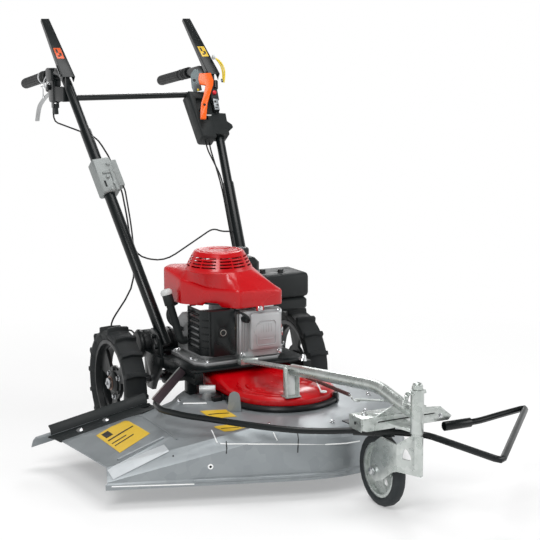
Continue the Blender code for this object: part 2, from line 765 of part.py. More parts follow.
def build_belt_cover(deck):
    shape = bmesh.new()
    outline = cover_outline()
    centre = Vector((-0.01, -0.30))
    inner = [Vector(p) + (centre - Vector(p)).normalized() * 0.010 for p in outline]
    loops = []
    for loop in (inner, circle(0.024, 16, (CRANK_X, CRANK_Y))):
        corners = [shape.verts.new((p[0], p[1], 0.0)) for p in loop]
        loops.append([shape.edges.new((corners[i], corners[(i + 1) % len(corners)]))
                      for i in range(len(corners))])
    bmesh.ops.triangle_fill(shape, edges=loops[0] + loops[1], use_beauty=True,
                            normal=(0.0, 0.0, 1.0))
    for y in (-0.375, -0.245):
        bmesh.ops.bisect_plane(shape, geom=list(shape.verts) + list(shape.edges) + list(shape.faces),
                               plane_co=(0.0, y, 0.0), plane_no=(0.0, 1.0, 0.0))
    rim = [e for e in shape.edges if e.is_boundary
           and min((v.co.to_2d() - Vector((CRANK_X, CRANK_Y))).length for v in e.verts) > 0.03]
    for vert in shape.verts:
        vert.co.z = cover_height(vert.co.y)
    grown = bmesh.ops.extrude_edge_only(shape, edges=rim)["geom"]
    lowered = [v for v in grown if isinstance(v, bmesh.types.BMVert)]
    for vert in lowered:
        away = (vert.co.to_2d() - centre).normalized() * 0.010
        vert.co = Vector((vert.co.x + away.x, vert.co.y + away.y, vert.co.z - 0.008))
    edge = [e for e in grown if isinstance(e, bmesh.types.BMEdge)]
    grown = bmesh.ops.extrude_edge_only(shape, edges=edge)["geom"]
    for vert in [v for v in grown if isinstance(v, bmesh.types.BMVert)]:
        vert.co.z = COVER_BOTTOM
    bmesh.ops.recalc_face_normals(shape, faces=shape.faces)
    if sum(face.normal.z * face.calc_area() for face in shape.faces) < 0.0:
        bmesh.ops.reverse_faces(shape, faces=shape.faces)
    mesh = bpy.data.meshes.new("belt_cover")
    shape.to_mesh(mesh)
    shape.free()
    cover = bpy.data.objects.new("belt_cover", mesh)
    bpy.context.scene.collection.objects.link(cover)
    thicken(cover, COVER_SHEET)
    paint(cover, RED, 0.0, 0.25)

    ring = pipe("cover_ring", (COVER_X, DECK_Y, DECK_TOP + GAP), (COVER_X, DECK_Y, COVER_BOTTOM - GAP),
                COVER_RADIUS + 0.006, COVER_RADIUS - 0.012, 40)
    knob = rod("knob", (COVER_X + 0.109, DECK_Y - 0.109, DECK_TOP + GAP),
               (COVER_X + 0.109, DECK_Y - 0.109, 0.206), 0.006, 10)
    combine(ring, knob)
    combine(ring, box("belt_path", (-0.060, -0.330, BELT_LOW - 0.001), (0.068, -0.230, COVER_BOTTOM)),
            "DIFFERENCE")
    paint(ring, DARK, 0.0, 0.4)

    tab_outline = [(-0.016, 0.0), (0.016, 0.0), (0.011, 0.036), (0.006, 0.044), (-0.006, 0.044),
                   (-0.011, 0.036)]
    tab = prism("deck_tab", tab_outline, 0.0, 0.003,
                matrix=frame_matrix((-0.1300, -0.420, DECK_TOP - 0.002), (0.25, 1.0, 0.0), (1, -0.25, 0)))
    combine(deck, tab)
    bush = pipe("pivot_bush", (-0.178, -0.330, 0.2075), (-0.140, -0.352, 0.2075), 0.0125, 0.0045, 20)
    foot = box("foot", (-0.171, -0.353, DECK_TOP - 0.0035), (-0.151, -0.331, 0.198))
    combine(bush, foot)
    floor = box("floor", (-0.20, -0.40, 0.150), (-0.10, -0.30, DECK_TOP + GAP))
    combine(bush, floor, "DIFFERENCE")
    paint(bush, SILVER, 0.8, 0.35)


def hull_outline(first, first_radius, second, second_radius, steps):
    """Outline of a belt around two circles."""
    first, second = Vector(first), Vector(second)
    between = second - first
    heading = math.atan2(between.y, between.x)
    lean = math.acos((first_radius - second_radius) / between.length)
    points = []
    for step in range(steps + 1):
        angle = heading + lean + (2.0 * math.pi - 2.0 * lean) * step / steps
        points.append((first.x + first_radius * math.cos(angle),
                       first.y + first_radius * math.sin(angle)))
    for step in range(steps + 1):
        angle = heading - lean + 2.0 * lean * step / steps
        points.append((second.x + second_radius * math.cos(angle),
                       second.y + second_radius * math.sin(angle)))
    return points


def pulley_profile(radius, low):
    groove = radius - PULLEY_GROOVE
    flange = (PULLEY_HEIGHT - BELT_HEIGHT) / 2.0 - GAP
    return [(0.0, low), (radius, low), (radius, low + flange - 0.0006), (groove, low + flange),
            (groove, low + PULLEY_HEIGHT - flange), (radius, low + PULLEY_HEIGHT - flange + 0.0006),
            (radius, low + PULLEY_HEIGHT), (0.0, low + PULLEY_HEIGHT)]


def build_blade_drive():
    centre = (BLADE_X, DECK_Y, 0.0)
    at_blade = Matrix.Translation(centre)
    bore = BLADE_SHAFT_RADIUS + RUN_GAP
    housing = lathe("bearing_housing", [
        (bore, 0.112), (0.028, 0.112), (0.034, 0.140), (DECK_HOLE_RADIUS - 0.005, 0.150),
        (DECK_HOLE_RADIUS - 0.005, DECK_TOP + GAP), (0.085, DECK_TOP + GAP),
        (0.085, DECK_TOP + 0.005), (0.030, DECK_TOP + 0.008), (bore, DECK_TOP + 0.008)], 18, at_blade)
    paint(housing, SILVER, 0.8, 0.45)

    shaft = lathe("blade_shaft", [
        (0.0, 0.094), (0.0083, 0.094), (0.0083, 0.0785), (0.030, 0.0785), (0.030, 0.0845),
        (0.020, 0.090), (BLADE_SHAFT_RADIUS, 0.094), (BLADE_SHAFT_RADIUS, PULLEY_BOTTOM + 0.002),
        (0.0, PULLEY_BOTTOM + 0.002)], 14, at_blade)
    pulley = lathe("pulley", pulley_profile(BLADE_PULLEY_RADIUS, PULLEY_BOTTOM), 22, at_blade)
    combine(shaft, pulley)
    paint(shaft, STEEL, 0.9, 0.4)
    set_origin(shaft, (BLADE_X, DECK_Y, BLADE_HEIGHT))

    length, half = BLADE_HALF_LENGTH, BLADE_WIDTH / 2.0
    outline = [(-length, -half), (length - 0.004, -half), (length, -half + 0.010), (length, half),
               (-length + 0.004, half), (-length, half - 0.010)]
    blade = prism("cutting_blade", outline, 0.0, BLADE_THICKNESS, [circle(0.0086, 16)],
                  Matrix.Translation((BLADE_X, DECK_Y, BLADE_HEIGHT)))
    for side in (-1, 1):
        wing = [(0.0, 0.0), (0.014, 0.0), (0.004, 0.016), (0.0, 0.016)]
        raised = prism("wing", wing, 0.0, 0.080,
                       matrix=frame_matrix((BLADE_X + side * (length - 0.090), DECK_Y + side * half,
                                            BLADE_HEIGHT + BLADE_THICKNESS - 0.001),
                                           (side, 0, 0), (0, -side, 0)))
        combine(blade, raised)
    paint(blade, STEEL, 0.9, 0.4)
    set_origin(blade, (BLADE_X, DECK_Y, BLADE_HEIGHT))
    bolt = lathe("blade_bolt", [(0.0, BLADE_HEIGHT - 0.010), (0.014, BLADE_HEIGHT - 0.010),
                                (0.014, BLADE_HEIGHT - 0.003), (0.020, BLADE_HEIGHT - 0.003),
                                (0.020, BLADE_HEIGHT - GAP), (0.0080, BLADE_HEIGHT - GAP),
                                (0.0080, 0.090), (0.0, 0.090)], 12, at_blade)
    paint(bolt, STEEL, 0.9, 0.35)
    set_origin(bolt, (BLADE_X, DECK_Y, BLADE_HEIGHT))

    low = BELT_LOW
    inner = RUN_GAP + GAP - PULLEY_GROOVE
    outer = 0.0015
    crank, blade_axis = (CRANK_X, CRANK_Y), (BLADE_X, DECK_Y)
    belt = prism("drive_belt",
                 hull_outline(blade_axis, BLADE_PULLEY_RADIUS + outer, crank,
                              ENGINE_PULLEY_RADIUS + outer, 14), low, low + BELT_HEIGHT,
                 [hull_outline(blade_axis, BLADE_PULLEY_RADIUS + inner, crank,
                               ENGINE_PULLEY_RADIUS + inner, 14)])
    paint(belt, RUBBER, 0.0, 0.8)


def build_frame():
    rail_top = PLATE_BOTTOM
    frame = None
    for side in (-1, 1):
        x = side * RAIL_X
        rail = box("chassis_frame" if frame is None else "rail",
                   (x - RAIL_WIDTH / 2, -0.310, RAIL_BOTTOM), (x + RAIL_WIDTH / 2, 0.040, rail_top))
        frame = combine(frame, rail) if frame else rail
        combine(frame, box("leg", (x - 0.012, -0.265, DECK_TOP + GAP),
                           (x + 0.012, -0.235, RAIL_BOTTOM + 0.004)))
        side_on = Matrix(((0, 0, 1, 0), (1, 0, 0, 0), (0, 1, 0, 0), (0, 0, 0, 1)))
        face = side * (RAIL_X + RAIL_WIDTH / 2 - 0.002)
        low, high = sorted((face, face + side * 0.012))
        carrier = prism("carrier", [(-0.080, rail_top), (-0.080, 0.220), (-0.034, 0.160),
                                    (-0.020, 0.138), (0.020, 0.138), (0.034, 0.160), (0.040, 0.220),
                                    (0.040, rail_top)], low, high,
                        [circle(AXLE_RADIUS + RUN_GAP, 14, (0.0, WHEEL_RADIUS))], side_on)
        combine(frame, carrier)
        lug_x = side * (handle_point(1, 0.318).x + 1.01 * LOWER_TUBE_RADIUS + GAP)
        low, high = sorted((lug_x, lug_x + side * 0.007))
        lug = prism("lug", [(-0.066, rail_top - 0.004), (-0.060, 0.270), (-0.040, 0.300),
                            (0.000, 0.318), (0.022, 0.300), (0.012, rail_top - 0.004)],
                    low, high, (), side_on)
        combine(frame, lug)
        for y, z in ((-0.030, 0.268), (-0.008, 0.296)):
            combine(frame, hex_bolt("bolt", (lug_x + side * 0.006, y, z), (side, 0, 0), 0.013, 0.009))
    combine(frame, box("beam", (-RAIL_X - 0.01, 0.008, RAIL_BOTTOM), (RAIL_X + 0.01, 0.036, rail_top)))
    plate = prism("engine_plate", [(-0.182, -0.285), (-0.150, -0.300), (0.150, -0.300), (0.182, -0.285),
                                   (0.182, -0.040), (0.150, -0.028), (-0.100, -0.028),
                                   (-0.128, -0.070), (-0.182, -0.080)],
                  PLATE_BOTTOM - 0.001, PLATE_BOTTOM + PLATE_THICKNESS,
                  [circle(0.022, 16, (CRANK_X, CRANK_Y))])
    combine(frame, plate)
    paint(frame, BLACK, 0.2, 0.45)


def build_transmission():
    casing = rounded(box("drive_housing", (-0.055, -0.048, 0.112), (0.055, 0.062, RAIL_BOTTOM - 0.0015)),
                     0.012, 1)
    tower = rounded(box("tower", (-0.050, 0.0400, 0.150), (0.050, 0.118, 0.285)), 0.010, 1)
    combine(casing, tower)
    drum = lathe("drum", [(0.0, 0.0), (0.036, 0.0), (0.041, 0.006), (0.041, 0.110), (0.036, 0.116),
                          (0.036, 0.160), (0.0, 0.160)], 20,
                 frame_matrix((-0.200, 0.084, 0.256), (1, 0, 0)))
    combine(casing, drum)
    for side in (-1, 1):
        combine(casing, rod("sleeve", (side * 0.050, 0, WHEEL_RADIUS), (side * 0.150, 0, WHEEL_RADIUS),
                            0.020, 14))
    combine(casing, rod("bore", (-0.3, 0, WHEEL_RADIUS), (0.3, 0, WHEEL_RADIUS),
                        AXLE_RADIUS + RUN_GAP, 14), "DIFFERENCE")
    paint(casing, DARK, 0.2, 0.5)


def build_front():
    bottom = BRACKET_BOTTOM
    face = prism("front_bracket", [
        (-0.014, bottom + 0.004), (0.000, bottom), (0.236, bottom), (0.246, bottom + 0.010),
        (0.212, bottom + 0.038), (0.160, bottom + 0.042), (0.100, bottom + 0.034),
        (-0.014, bottom + 0.034)], 0.0, 0.003, [[(0.030, bottom + 0.019), (0.196, bottom + 0.021),
                                                 (0.196, bottom + 0.024), (0.030, bottom + 0.022)]],
        Matrix(((1, 0, 0, 0), (0, 0, -1, -0.930), (0, 1, 0, 0), (0, 0, 0, 1))))
    combine(face, box("floor", (-0.004, -0.9315, bottom), (0.232, -0.872, bottom + 0.003)))
    combine(face, box("roof", (-0.014, -0.9315, bottom + 0.031), (0.110, -0.872, bottom + 0.034)))
    combine(face, prism("tongue", [
        (CASTOR_X - 0.030, -0.931), (CASTOR_X - 0.014, CASTOR_SPINDLE_Y + HOUSING_RADIUS - 0.006),
        (CASTOR_X + 0.014, CASTOR_SPINDLE_Y + HOUSING_RADIUS - 0.006), (CASTOR_X + 0.030, -0.931)],
        bottom + 0.013, bottom + 0.019))
    housing = pipe("castor_housing", (CASTOR_X, CASTOR_SPINDLE_Y, HOUSING_BOTTOM),
                   (CASTOR_X, CASTOR_SPINDLE_Y, HOUSING_TOP), HOUSING_RADIUS,
                   SPINDLE_RADIUS + RUN_GAP, 16)
    for side in (-1, 1):
        start, end = sorted((CASTOR_X + side * 0.012, CASTOR_X + side * 0.026))
        ear = box("ear", (start, CASTOR_SPINDLE_Y + 0.002, HOUSING_TOP - 0.012),
                  (end, CASTOR_SPINDLE_Y + 0.008, HOUSING_TOP - 0.004))
        combine(housing, ear)
    combine(face, housing)
    paint(face, ZINC, 0.7, 0.45)

    knee = (CASTOR_X, -0.850, 0.303)
    arm = sweep("support_arm", smooth_path([(-0.002, -0.545, 0.289), (0.040, -0.690, 0.296), knee,
                                            (CASTOR_X, -0.990, 0.278),
                                            (CASTOR_X, CASTOR_SPINDLE_Y + 0.006, 0.275)],
                                           0.035, 4), circle(0.016, 12))
    combine(arm, rod("cut", (CASTOR_X, CASTOR_SPINDLE_Y, 0.20), (CASTOR_X, CASTOR_SPINDLE_Y, 0.36),
                     HOUSING_RADIUS + GAP, 16), "DIFFERENCE")
    strap = box("strap", (-0.016, 0.0, -0.003), (0.016, 0.262, 0.003))
    moved(strap, frame_matrix((-0.008, -0.545, 0.293), (0.0, 0.13, 1.0), (1, 0, 0)))
    combine(arm, strap)
    foot_z = cover_height(-0.545) + GAP
    web = box("web", (-0.026, -0.541, foot_z), (0.012, -0.538, 0.300))
    combine(arm, web)
    for side in (-1, 1):
        x = -0.007 + side * 0.0175
        combine(arm, box("flange", (x - 0.0015, -0.560, foot_z), (x + 0.0015, -0.539, 0.298)))
    combine(arm, box("foot", (-0.030, -0.562, foot_z), (0.016, -0.522, foot_z + 0.003)))
    base = box("base", (-0.034, -0.296, PLATE_BOTTOM + PLATE_THICKNESS + GAP), (0.018, -0.2725, 0.268))
    combine(arm, base)
    paint(arm, ZINC, 0.7, 0.45)

    sleeve_start = (0.000, -0.865)
    sleeve_end = (0.083, -0.927)
    around_deck = [(-0.338, -0.395), (-0.350, -0.460), (-0.315, -0.545), (-0.267, -0.613),
                   (-0.222, -0.679), (-0.172, -0.747), (-0.118, -0.805), (-0.054, -0.844)]
    guard = [sleeve_start, sleeve_end, (0.140, -0.985), (BUMPER_TIP_X, BUMPER_TIP_Y),
             (BUMPER_CORNER_X, -0.892), (0.409, -0.916), (0.322, BUMPER_SOCKET_Y),
             (0.230, BUMPER_SOCKET_Y)]
    path = smooth_path([(-RAIL_X - RAIL_WIDTH / 2 - GAP, -0.238, 0.232), (-0.200, -0.238, 0.232)]
                       + [(x, y, BUMPER_Z) for x, y in around_deck + guard], 0.022, 2)
    bumper = sweep("bumper", path, circle(BUMPER_RADIUS, 8))
    combine(bumper, rod("sleeve", (*sleeve_start, BUMPER_Z), (*sleeve_end, BUMPER_Z),
                        BUMPER_SLEEVE_RADIUS, 12))
    combine(bumper, rod("socket", (0.219, BUMPER_SOCKET_Y, BUMPER_Z), (0.297, BUMPER_SOCKET_Y, BUMPER_Z),
                        BUMPER_SLEEVE_RADIUS, 12))
    combine(bumper, rod("mouth", (0.200, BUMPER_SOCKET_Y, BUMPER_Z), (0.226, BUMPER_SOCKET_Y, BUMPER_Z),
                        BUMPER_SLEEVE_RADIUS - 0.003, 12), "DIFFERENCE")
    paint(bumper, BLACK, 0.2, 0.4)


def build_engine_block():
    bottom = PLATE_BOTTOM + PLATE_THICKNESS + GAP
    block = rounded(box("crankcase", (-0.128, -0.236, bottom + 0.004), (0.092, -0.048, CRANKCASE_TOP)),
                    0.016, 1)
    flange = prism("flange", [(-0.150, -0.232), (-0.128, -0.262), (0.100, -0.262), (0.116, -0.236),
                              (0.116, -0.060), (0.096, -0.040), (-0.120, -0.040), (-0.150, -0.066)],
                   bottom, bottom + 0.010)
    combine(block, flange)
    combine(block, lathe("boss", [(0.0, 0.360), (0.034, 0.360), (0.030, 0.404), (0.0, 0.404)], 16,
                         Matrix.Translation((CRANK_X, CRANK_Y, 0.0))))
    combine(block, rod("bore", (CRANK_X, CRANK_Y, 0.20), (CRANK_X, CRANK_Y, 0.45),
                       0.0115 + RUN_GAP, 14), "DIFFERENCE")
    for x, y in ((-0.138, -0.215), (-0.138, -0.080), (0.104, -0.215), (0.104, -0.080)):
        combine(block, hex_bolt("bolt", (x, y, bottom + 0.009), (0, 0, 1), 0.012, 0.007))
    x0, x1, z0, z1 = HEAD_LEFT, HEAD_RIGHT, HEAD_BOTTOM, HEAD_TOP
    combine(block, box("barrel", (x0 + 0.016, -0.2615, z0 + 0.012), (x1 - 0.020, -0.230, z1 - 0.032)))
    for k in range(3):
        y = -0.2400 - 0.0080 * k
        combine(block, box("fin", (x0, y - 0.0028, z0), (x1, y, z1)))
    bracket = box("control_plate", (0.1285, -0.200, bottom + 0.004), (0.1315, -0.1755, 0.330))
    combine(bracket, box("foot", (0.108, -0.200, bottom + 0.002), (0.1315, -0.1755, bottom + 0.006)))
    combine(bracket, rod("pin", (0.1310, -0.188, 0.312), (0.1450, -0.188, 0.312), 0.004, 12))
    combine(block, bracket)
    paint(block, SILVER, 0.7, 0.5)

    cover = rounded(box("rocker_cover", (x0 + 0.002, HEAD_FACE_Y, z0 + 0.001), (x1, -0.2618, z1)), 0.003, 1)
    raised = rounded(box("raised", (x0 + 0.030, -0.2860, z0 + 0.022), (x1 - 0.008, -0.268, z1 - 0.006)),
                     0.010)
    combine(cover, raised)
    oval = prism("oval", circle(0.5, 24), 0.0, 0.0024,
                 matrix=Matrix(((0.076, 0, 0, (x0 + x1) / 2 + 0.011), (0, 0, -1, -0.2850),
                                (0, 0.052, 0, (z0 + z1) / 2 + 0.010), (0, 0, 0, 1))))
    combine(cover, oval)
    paint(cover, SILVER, 0.8, 0.4)

    can = rounded(box("muffler", (-0.104, -0.256, 0.292), (HEAD_LEFT - 0.0115, -0.150, 0.394)), 0.012, 1)
    combine(can, rod("outlet", (-0.077, -0.250, 0.345), (-0.077, -0.2725, 0.345), 0.0095, 16))
    combine(can, rod("outlet_bore", (-0.077, -0.262, 0.345), (-0.077, -0.280, 0.345), 0.0075, 16),
            "DIFFERENCE")
    combine(can, rod("inlet", (HEAD_LEFT - 0.02, -0.250, 0.350), (HEAD_LEFT - GAP, -0.250, 0.350),
                     0.009, 16))
    combine(can, box("behind", (HEAD_LEFT - 0.09, -0.236 - GAP, 0.26), (HEAD_LEFT + 0.02, -0.10, 0.40)),
            "DIFFERENCE")
    paint(can, STEEL, 0.8, 0.6)

    guard = prism("muffler_guard", [(-0.040, -0.270), (-0.106, -0.270), (-0.114, -0.260),
                                    (-0.133, -0.2365), (-0.133, -0.150), (-0.1303, -0.150),
                                    (-0.1303, -0.2352), (-0.1115, -0.2585), (-0.1050, -0.2675),
                                    (-0.040, -0.2675)], 0.278, 0.408)
    lid = [(-0.040, -0.270), (-0.106, -0.270), (-0.114, -0.260), (-0.133, -0.2365), (-0.133, -0.150),
           (-0.1287, -0.150), (-0.1287, -0.238), (-0.040, -0.238)]
    combine(guard, prism("lid", lid, 0.4055, 0.408))
    combine(guard, prism("floor", lid, 0.278, 0.2805))
    combine(guard, rod("hole", (-0.077, -0.262, 0.345), (-0.077, -0.280, 0.345), 0.0115, 20), "DIFFERENCE")
    for row in range(6):
        z = 0.297 + 0.0170 * row
        combine(guard, box("slot", (-0.150, -0.226, z), (-0.120, -0.162, z + 0.006)), "DIFFERENCE")
    paint(guard, BLACK, 0.1, 0.45)


def shroud_outline():
    """Plan corners of the fan cover with the height of its upper edge."""
    return [((-0.148, -0.138), 0.484), ((-0.156, -0.028), 0.504), ((-0.120, 0.006), 0.506),
            ((0.062, 0.006), 0.494), ((0.112, -0.045), 0.472), ((0.122, -0.180), 0.460),
            ((0.110, -0.276), 0.454), ((-0.034, -0.284), 0.464), ((-0.100, -0.200), 0.464)]


def edge_towards(centre, angle):
    """Where a ray from the crank meets the outline of the fan cover."""
    corners = shroud_outline()
    direction = Vector((math.cos(angle), math.sin(angle)))
    for (first, z_first), (second, z_second) in zip(corners, corners[1:] + corners[:1]):
        start = Vector(first) - centre
        run = Vector(second) - Vector(first)
        scale = direction.x * run.y - direction.y * run.x
        if abs(scale) < 1e-9:
            continue
        distance = (start.x * run.y - start.y * run.x) / scale
        t = (start.x * direction.y - start.y * direction.x) / scale
        if distance > 0.0 and -1e-6 <= t <= 1.0 + 1e-6:
            return centre + direction * distance, z_first + (z_second - z_first) * t
    return centre + direction * 0.14, 0.48


def shroud_height(x, y):
    """Height of the fan cover's sloping top at a point outside the dome."""
    centre = Vector((CRANK_X, CRANK_Y))
    reach = Vector((x, y)) - centre
    edge, top = edge_towards(centre, math.atan2(reach.y, reach.x))
    dome = DOME_RADIUS + 0.002
    t = (reach.length - dome) / ((edge - centre).length - 0.005 - dome)
    return DOME_BASE + (top - DOME_BASE) * t


def build_fan_cover():
    centre = Vector((CRANK_X, CRANK_Y))
    angles = [2.0 * math.pi * k / 24.0 for k in range(24)]
    for corner, height in shroud_outline():
        reach = Vector(corner) - centre
        angle = math.atan2(reach.y, reach.x) % (2.0 * math.pi)
        nearest = min(range(24),
                      key=lambda k: abs((angles[k] - angle + math.pi) % (2.0 * math.pi) - math.pi))
        angles[nearest] = angle
    vertices, rings = [], []
    slots = [(0.519, 0.0925), (0.524, 0.0900), (0.531, 0.0860), (0.536, 0.0830), (0.543, 0.0785),
             (0.548, 0.0755)]
    for angle in angles:
        edge, top = edge_towards(centre, angle)
        outward = Vector((math.cos(angle), math.sin(angle)))
        column = [(edge, SHROUD_BOTTOM), (edge, top - 0.006), (edge - outward * 0.005, top),
                  (centre + outward * (DOME_RADIUS + 0.002), DOME_BASE),
                  (centre + outward * DOME_RADIUS, DOME_BASE + 0.006)]
        column += [(centre + outward * radius, height) for height, radius in slots]
        column += [(centre + outward * DOME_TOP_RADIUS, DOME_TOP - 0.003),
                   (centre + outward * (DOME_TOP_RADIUS - 0.006), DOME_TOP),
                   (centre + outward * 0.022, DOME_TOP + 0.002)]
        ring = []
        for place, height in column:
            ring.append(len(vertices))
            vertices.append((place.x, place.y, height))
        rings.append(ring)
    middle = len(vertices)
    vertices.append((centre.x, centre.y, DOME_TOP + 0.002))
    faces = []
    open_rows = (5, 7, 9)
    for index, ring in enumerate(rings):
        after = rings[(index + 1) % len(rings)]
        for row in range(len(ring) - 1):
            if row in open_rows and index % 3 != 0:
                continue
            faces.append((ring[row], ring[row + 1], after[row + 1], after[row]))
        faces.append((ring[-1], middle, after[-1]))
    mesh = bpy.data.meshes.new("fan_cover")
    mesh.from_pydata(vertices, [], faces)
    cover = bpy.data.objects.new("fan_cover", mesh)
    bpy.context.scene.collection.objects.link(cover)
    shape = bmesh.new()
    shape.from_mesh(mesh)
    bmesh.ops.recalc_face_normals(shape, faces=shape.faces)
    if sum(face.normal.z * face.calc_area() for face in shape.faces) < 0.0:
        bmesh.ops.reverse_faces(shape, faces=shape.faces)
    shape.to_mesh(mesh)
    shape.free()
    thicken(cover, SHROUD_SHEET)
    combine(cover, box("front_tab", (0.024, -0.2790, HEAD_TOP + GAP), (0.046, -0.245, HEAD_TOP + 0.003)))
    combine(cover, box("front_riser", (0.024, -0.2790, HEAD_TOP + GAP),
                       (0.046, -0.2775, SHROUD_BOTTOM + 0.008)))
    combine(cover, box("rear_tab", (-0.060, -0.085, CRANKCASE_TOP + GAP),
                       (-0.040, 0.0048, CRANKCASE_TOP + 0.003)))
    combine(cover, box("rear_riser", (-0.060, 0.0023, CRANKCASE_TOP + GAP),
                       (-0.040, 0.0048, SHROUD_BOTTOM + 0.008)))
    paint(cover, RED, 0.0, 0.2)


def build_rotor():
    at_crank = Matrix.Translation((CRANK_X, CRANK_Y, 0.0))
    shaft = lathe("crankshaft", [(0.0, PULLEY_BOTTOM + 0.002), (0.0115, PULLEY_BOTTOM + 0.002),
                                 (0.0115, 0.4085), (0.0090, 0.4085), (0.0090, 0.4465), (0.0, 0.4465)],
                  12, at_crank)
    combine(shaft, lathe("pulley", pulley_profile(ENGINE_PULLEY_RADIUS, PULLEY_BOTTOM), 18, at_crank))
    paint(shaft, STEEL, 0.9, 0.4)
    set_origin(shaft, (CRANK_X, CRANK_Y, PULLEY_BOTTOM))
    wheel = lathe("flywheel", [(0.0090 + GAP, 0.4088), (0.060, 0.4088), (0.080, 0.414), (0.080, 0.434),
                               (0.0090 + GAP, 0.434)], 24, at_crank)
    for blade in range(8):
        angle = 2.0 * math.pi * blade / 8.0
        fin = box("fin", (0.044, -0.0015, 0.432), (0.076, 0.0015, 0.458))
        moved(fin, at_crank @ Matrix.Rotation(angle, 4, "Z"))
        combine(wheel, fin)
    paint(wheel, STEEL, 0.6, 0.6)
    set_origin(wheel, (CRANK_X, CRANK_Y, PULLEY_BOTTOM))


def build_engine_fittings():
    neck_low, neck_high = Vector((-0.146, -0.128, 0.300)), Vector((-0.176, -0.104, 0.4350))
    filler = sweep("oil_filler", smooth_path([(-0.128 - GAP, -0.128, 0.302), neck_low + Vector((0, 0, 0.002)),
                                              neck_high], 0.012, 3), circle(0.0115, 10))
    along = (neck_high - neck_low).normalized()
    combine(filler, rod("mouth", neck_high - along * 0.030, neck_high, 0.0150, 14))
    combine(filler, rod("bore", neck_high - along * 0.022, neck_high + along * 0.01, 0.0105, 12),
            "DIFFERENCE")
    paint(filler, DARK, 0.0, 0.4)
    frame = frame_matrix(neck_high, along)
    cap = lathe("oil_cap", [(0.0, -0.020), (0.0100, -0.020), (0.0100, GAP), (0.0170, GAP),
                            (0.0170, 0.010), (0.0120, 0.016), (0.0, 0.018)], 16, frame)
    paint(cap, (0.55, 0.56, 0.56), 0.0, 0.25)
    set_origin(cap, neck_high)

    tank = rounded(box("fuel_tank", (0.034, 0.0095, 0.405), (0.184, 0.104, 0.5000)), 0.016, 1)
    combine(tank, rod("recess", handle_point(1, 0.35), handle_point(1, 0.56),
                      LOWER_TUBE_RADIUS + CABLE_ROOM, 12), "DIFFERENCE")
    at_cap = Matrix.Translation((0.134, 0.050, 0.0))
    combine(tank, lathe("neck", [(0.0, 0.490), (0.020, 0.490), (0.020, 0.5080), (0.0, 0.5080)], 20, at_cap))
    combine(tank, rod("bore", (0.134, 0.050, 0.482), (0.134, 0.050, 0.52), 0.015, 20), "DIFFERENCE")
    paint(tank, DARK, 0.0, 0.45)
    cap = lathe("fuel_cap", [(0.0, 0.492), (0.0145, 0.492), (0.0145, 0.5080 + GAP), (0.0250, 0.5080 + GAP),
                             (0.0250, 0.524), (0.0210, 0.529), (0.0, 0.530)], 20, at_cap)
    paint(cap, BLACK, 0.0, 0.5)
    set_origin(cap, (0.134, 0.050, 0.508))

    carb = rounded(box("carburettor", (0.0925, -0.150, 0.300), (0.1265, -0.090, 0.372)), 0.006, 1)
    combine(carb, rod("bowl", (0.114, -0.120, 0.276), (0.114, -0.120, 0.305), 0.018, 14))
    combine(carb, rod("intake", (0.115, -0.105, 0.372), (0.160, -0.105, 0.372), INTAKE_RADIUS, 12))
    paint(carb, SILVER, 0.6, 0.5)

    base = rounded(box("air_cleaner_base", (0.128, -0.118, CLEANER_SPLIT - 0.038),
                       (0.276, 0.004, CLEANER_SPLIT)), 0.008, 1)
    combine(base, rounded(box("duct", (0.1370, -0.168, 0.262), (0.166, -0.100, 0.330)), 0.005, 1))
    combine(base, box("bridge", (0.142, -0.116, 0.300), (0.158, -0.101, 0.358)))
    combine(base, rod("bore", (0.120, -0.105, 0.372), (0.1605, -0.105, 0.372), INTAKE_RADIUS + GAP, 12),
            "DIFFERENCE")
    paint(base, DARK, 0.0, 0.5)
    lid = rounded(box("air_cleaner_cover", (0.1245, -0.122, CLEANER_SPLIT + GAP), (0.281, 0.008, 0.467)),
                  0.014)
    for x, y in ((0.150, -0.066), (0.200, -0.086)):
        combine(lid, rod("knob", (x, y, 0.460), (x, y, 0.477), 0.0085, 12))
    paint(lid, BLACK, 0.0, 0.45)

    plug = lathe("spark_plug_cap", [(0.0, 0.0), (0.0095, 0.0), (0.0095, 0.020), (0.0075, 0.030),
                                    (0.0, 0.032)],
                 14, frame_matrix((HEAD_LEFT + 0.014, HEAD_FACE_Y - GAP, HEAD_TOP - 0.020), (0, -1, 0)))
    paint(plug, RUBBER, 0.0, 0.6)

    lever = prism("choke_lever", [(-0.009, -0.008), (0.010, -0.008), (0.030, 0.018), (0.026, 0.028),
                                  (0.016, 0.026), (-0.009, 0.008)], 0.0, 0.004,
                  [circle(0.004 + RUN_GAP, 12)],
                  Matrix(((0, 0, 1, 0.1330), (-1, 0, 0, -0.188), (0, 1, 0, 0.312), (0, 0, 0, 1))))
    paint(lever, (0.55, 0.04, 0.02), 0.0, 0.5)
    set_origin(lever, (0.1350, -0.188, 0.312))

    middle = Vector((0.056, -0.018, 0.534))
    grip = rod("starter_handle", middle + Vector((-0.024, 0.012, 0.002)),
               middle - Vector((-0.024, 0.012, 0.002)), 0.0105, 14)
    seat = Vector((middle.x, middle.y, shroud_height(middle.x, middle.y) + 0.0018))
    combine(grip, rod("stem", middle, seat, 0.005, 10))
    paint(grip, BLACK, 0.0, 0.5)
    set_origin(grip, middle)


def handle_path(side):
    foot = handle_point(side, HANDLE_FOOT_Z + 0.006)
    top = Vector((side * HANDLE_TOP_X, HANDLE_TOP_Y, HANDLE_TOP_Z))
    end = Vector((side * HANDLE_TOP_X, GRIP_END_Y - 0.004, grip_height(GRIP_END_Y - 0.004)))
    return smooth_path([foot, top, end], 0.055, 5)


def grip_height(y):
    t = (y - HANDLE_TOP_Y) / (GRIP_END_Y - HANDLE_TOP_Y)
    return HANDLE_TOP_Z + (GRIP_END_Z - HANDLE_TOP_Z) * t


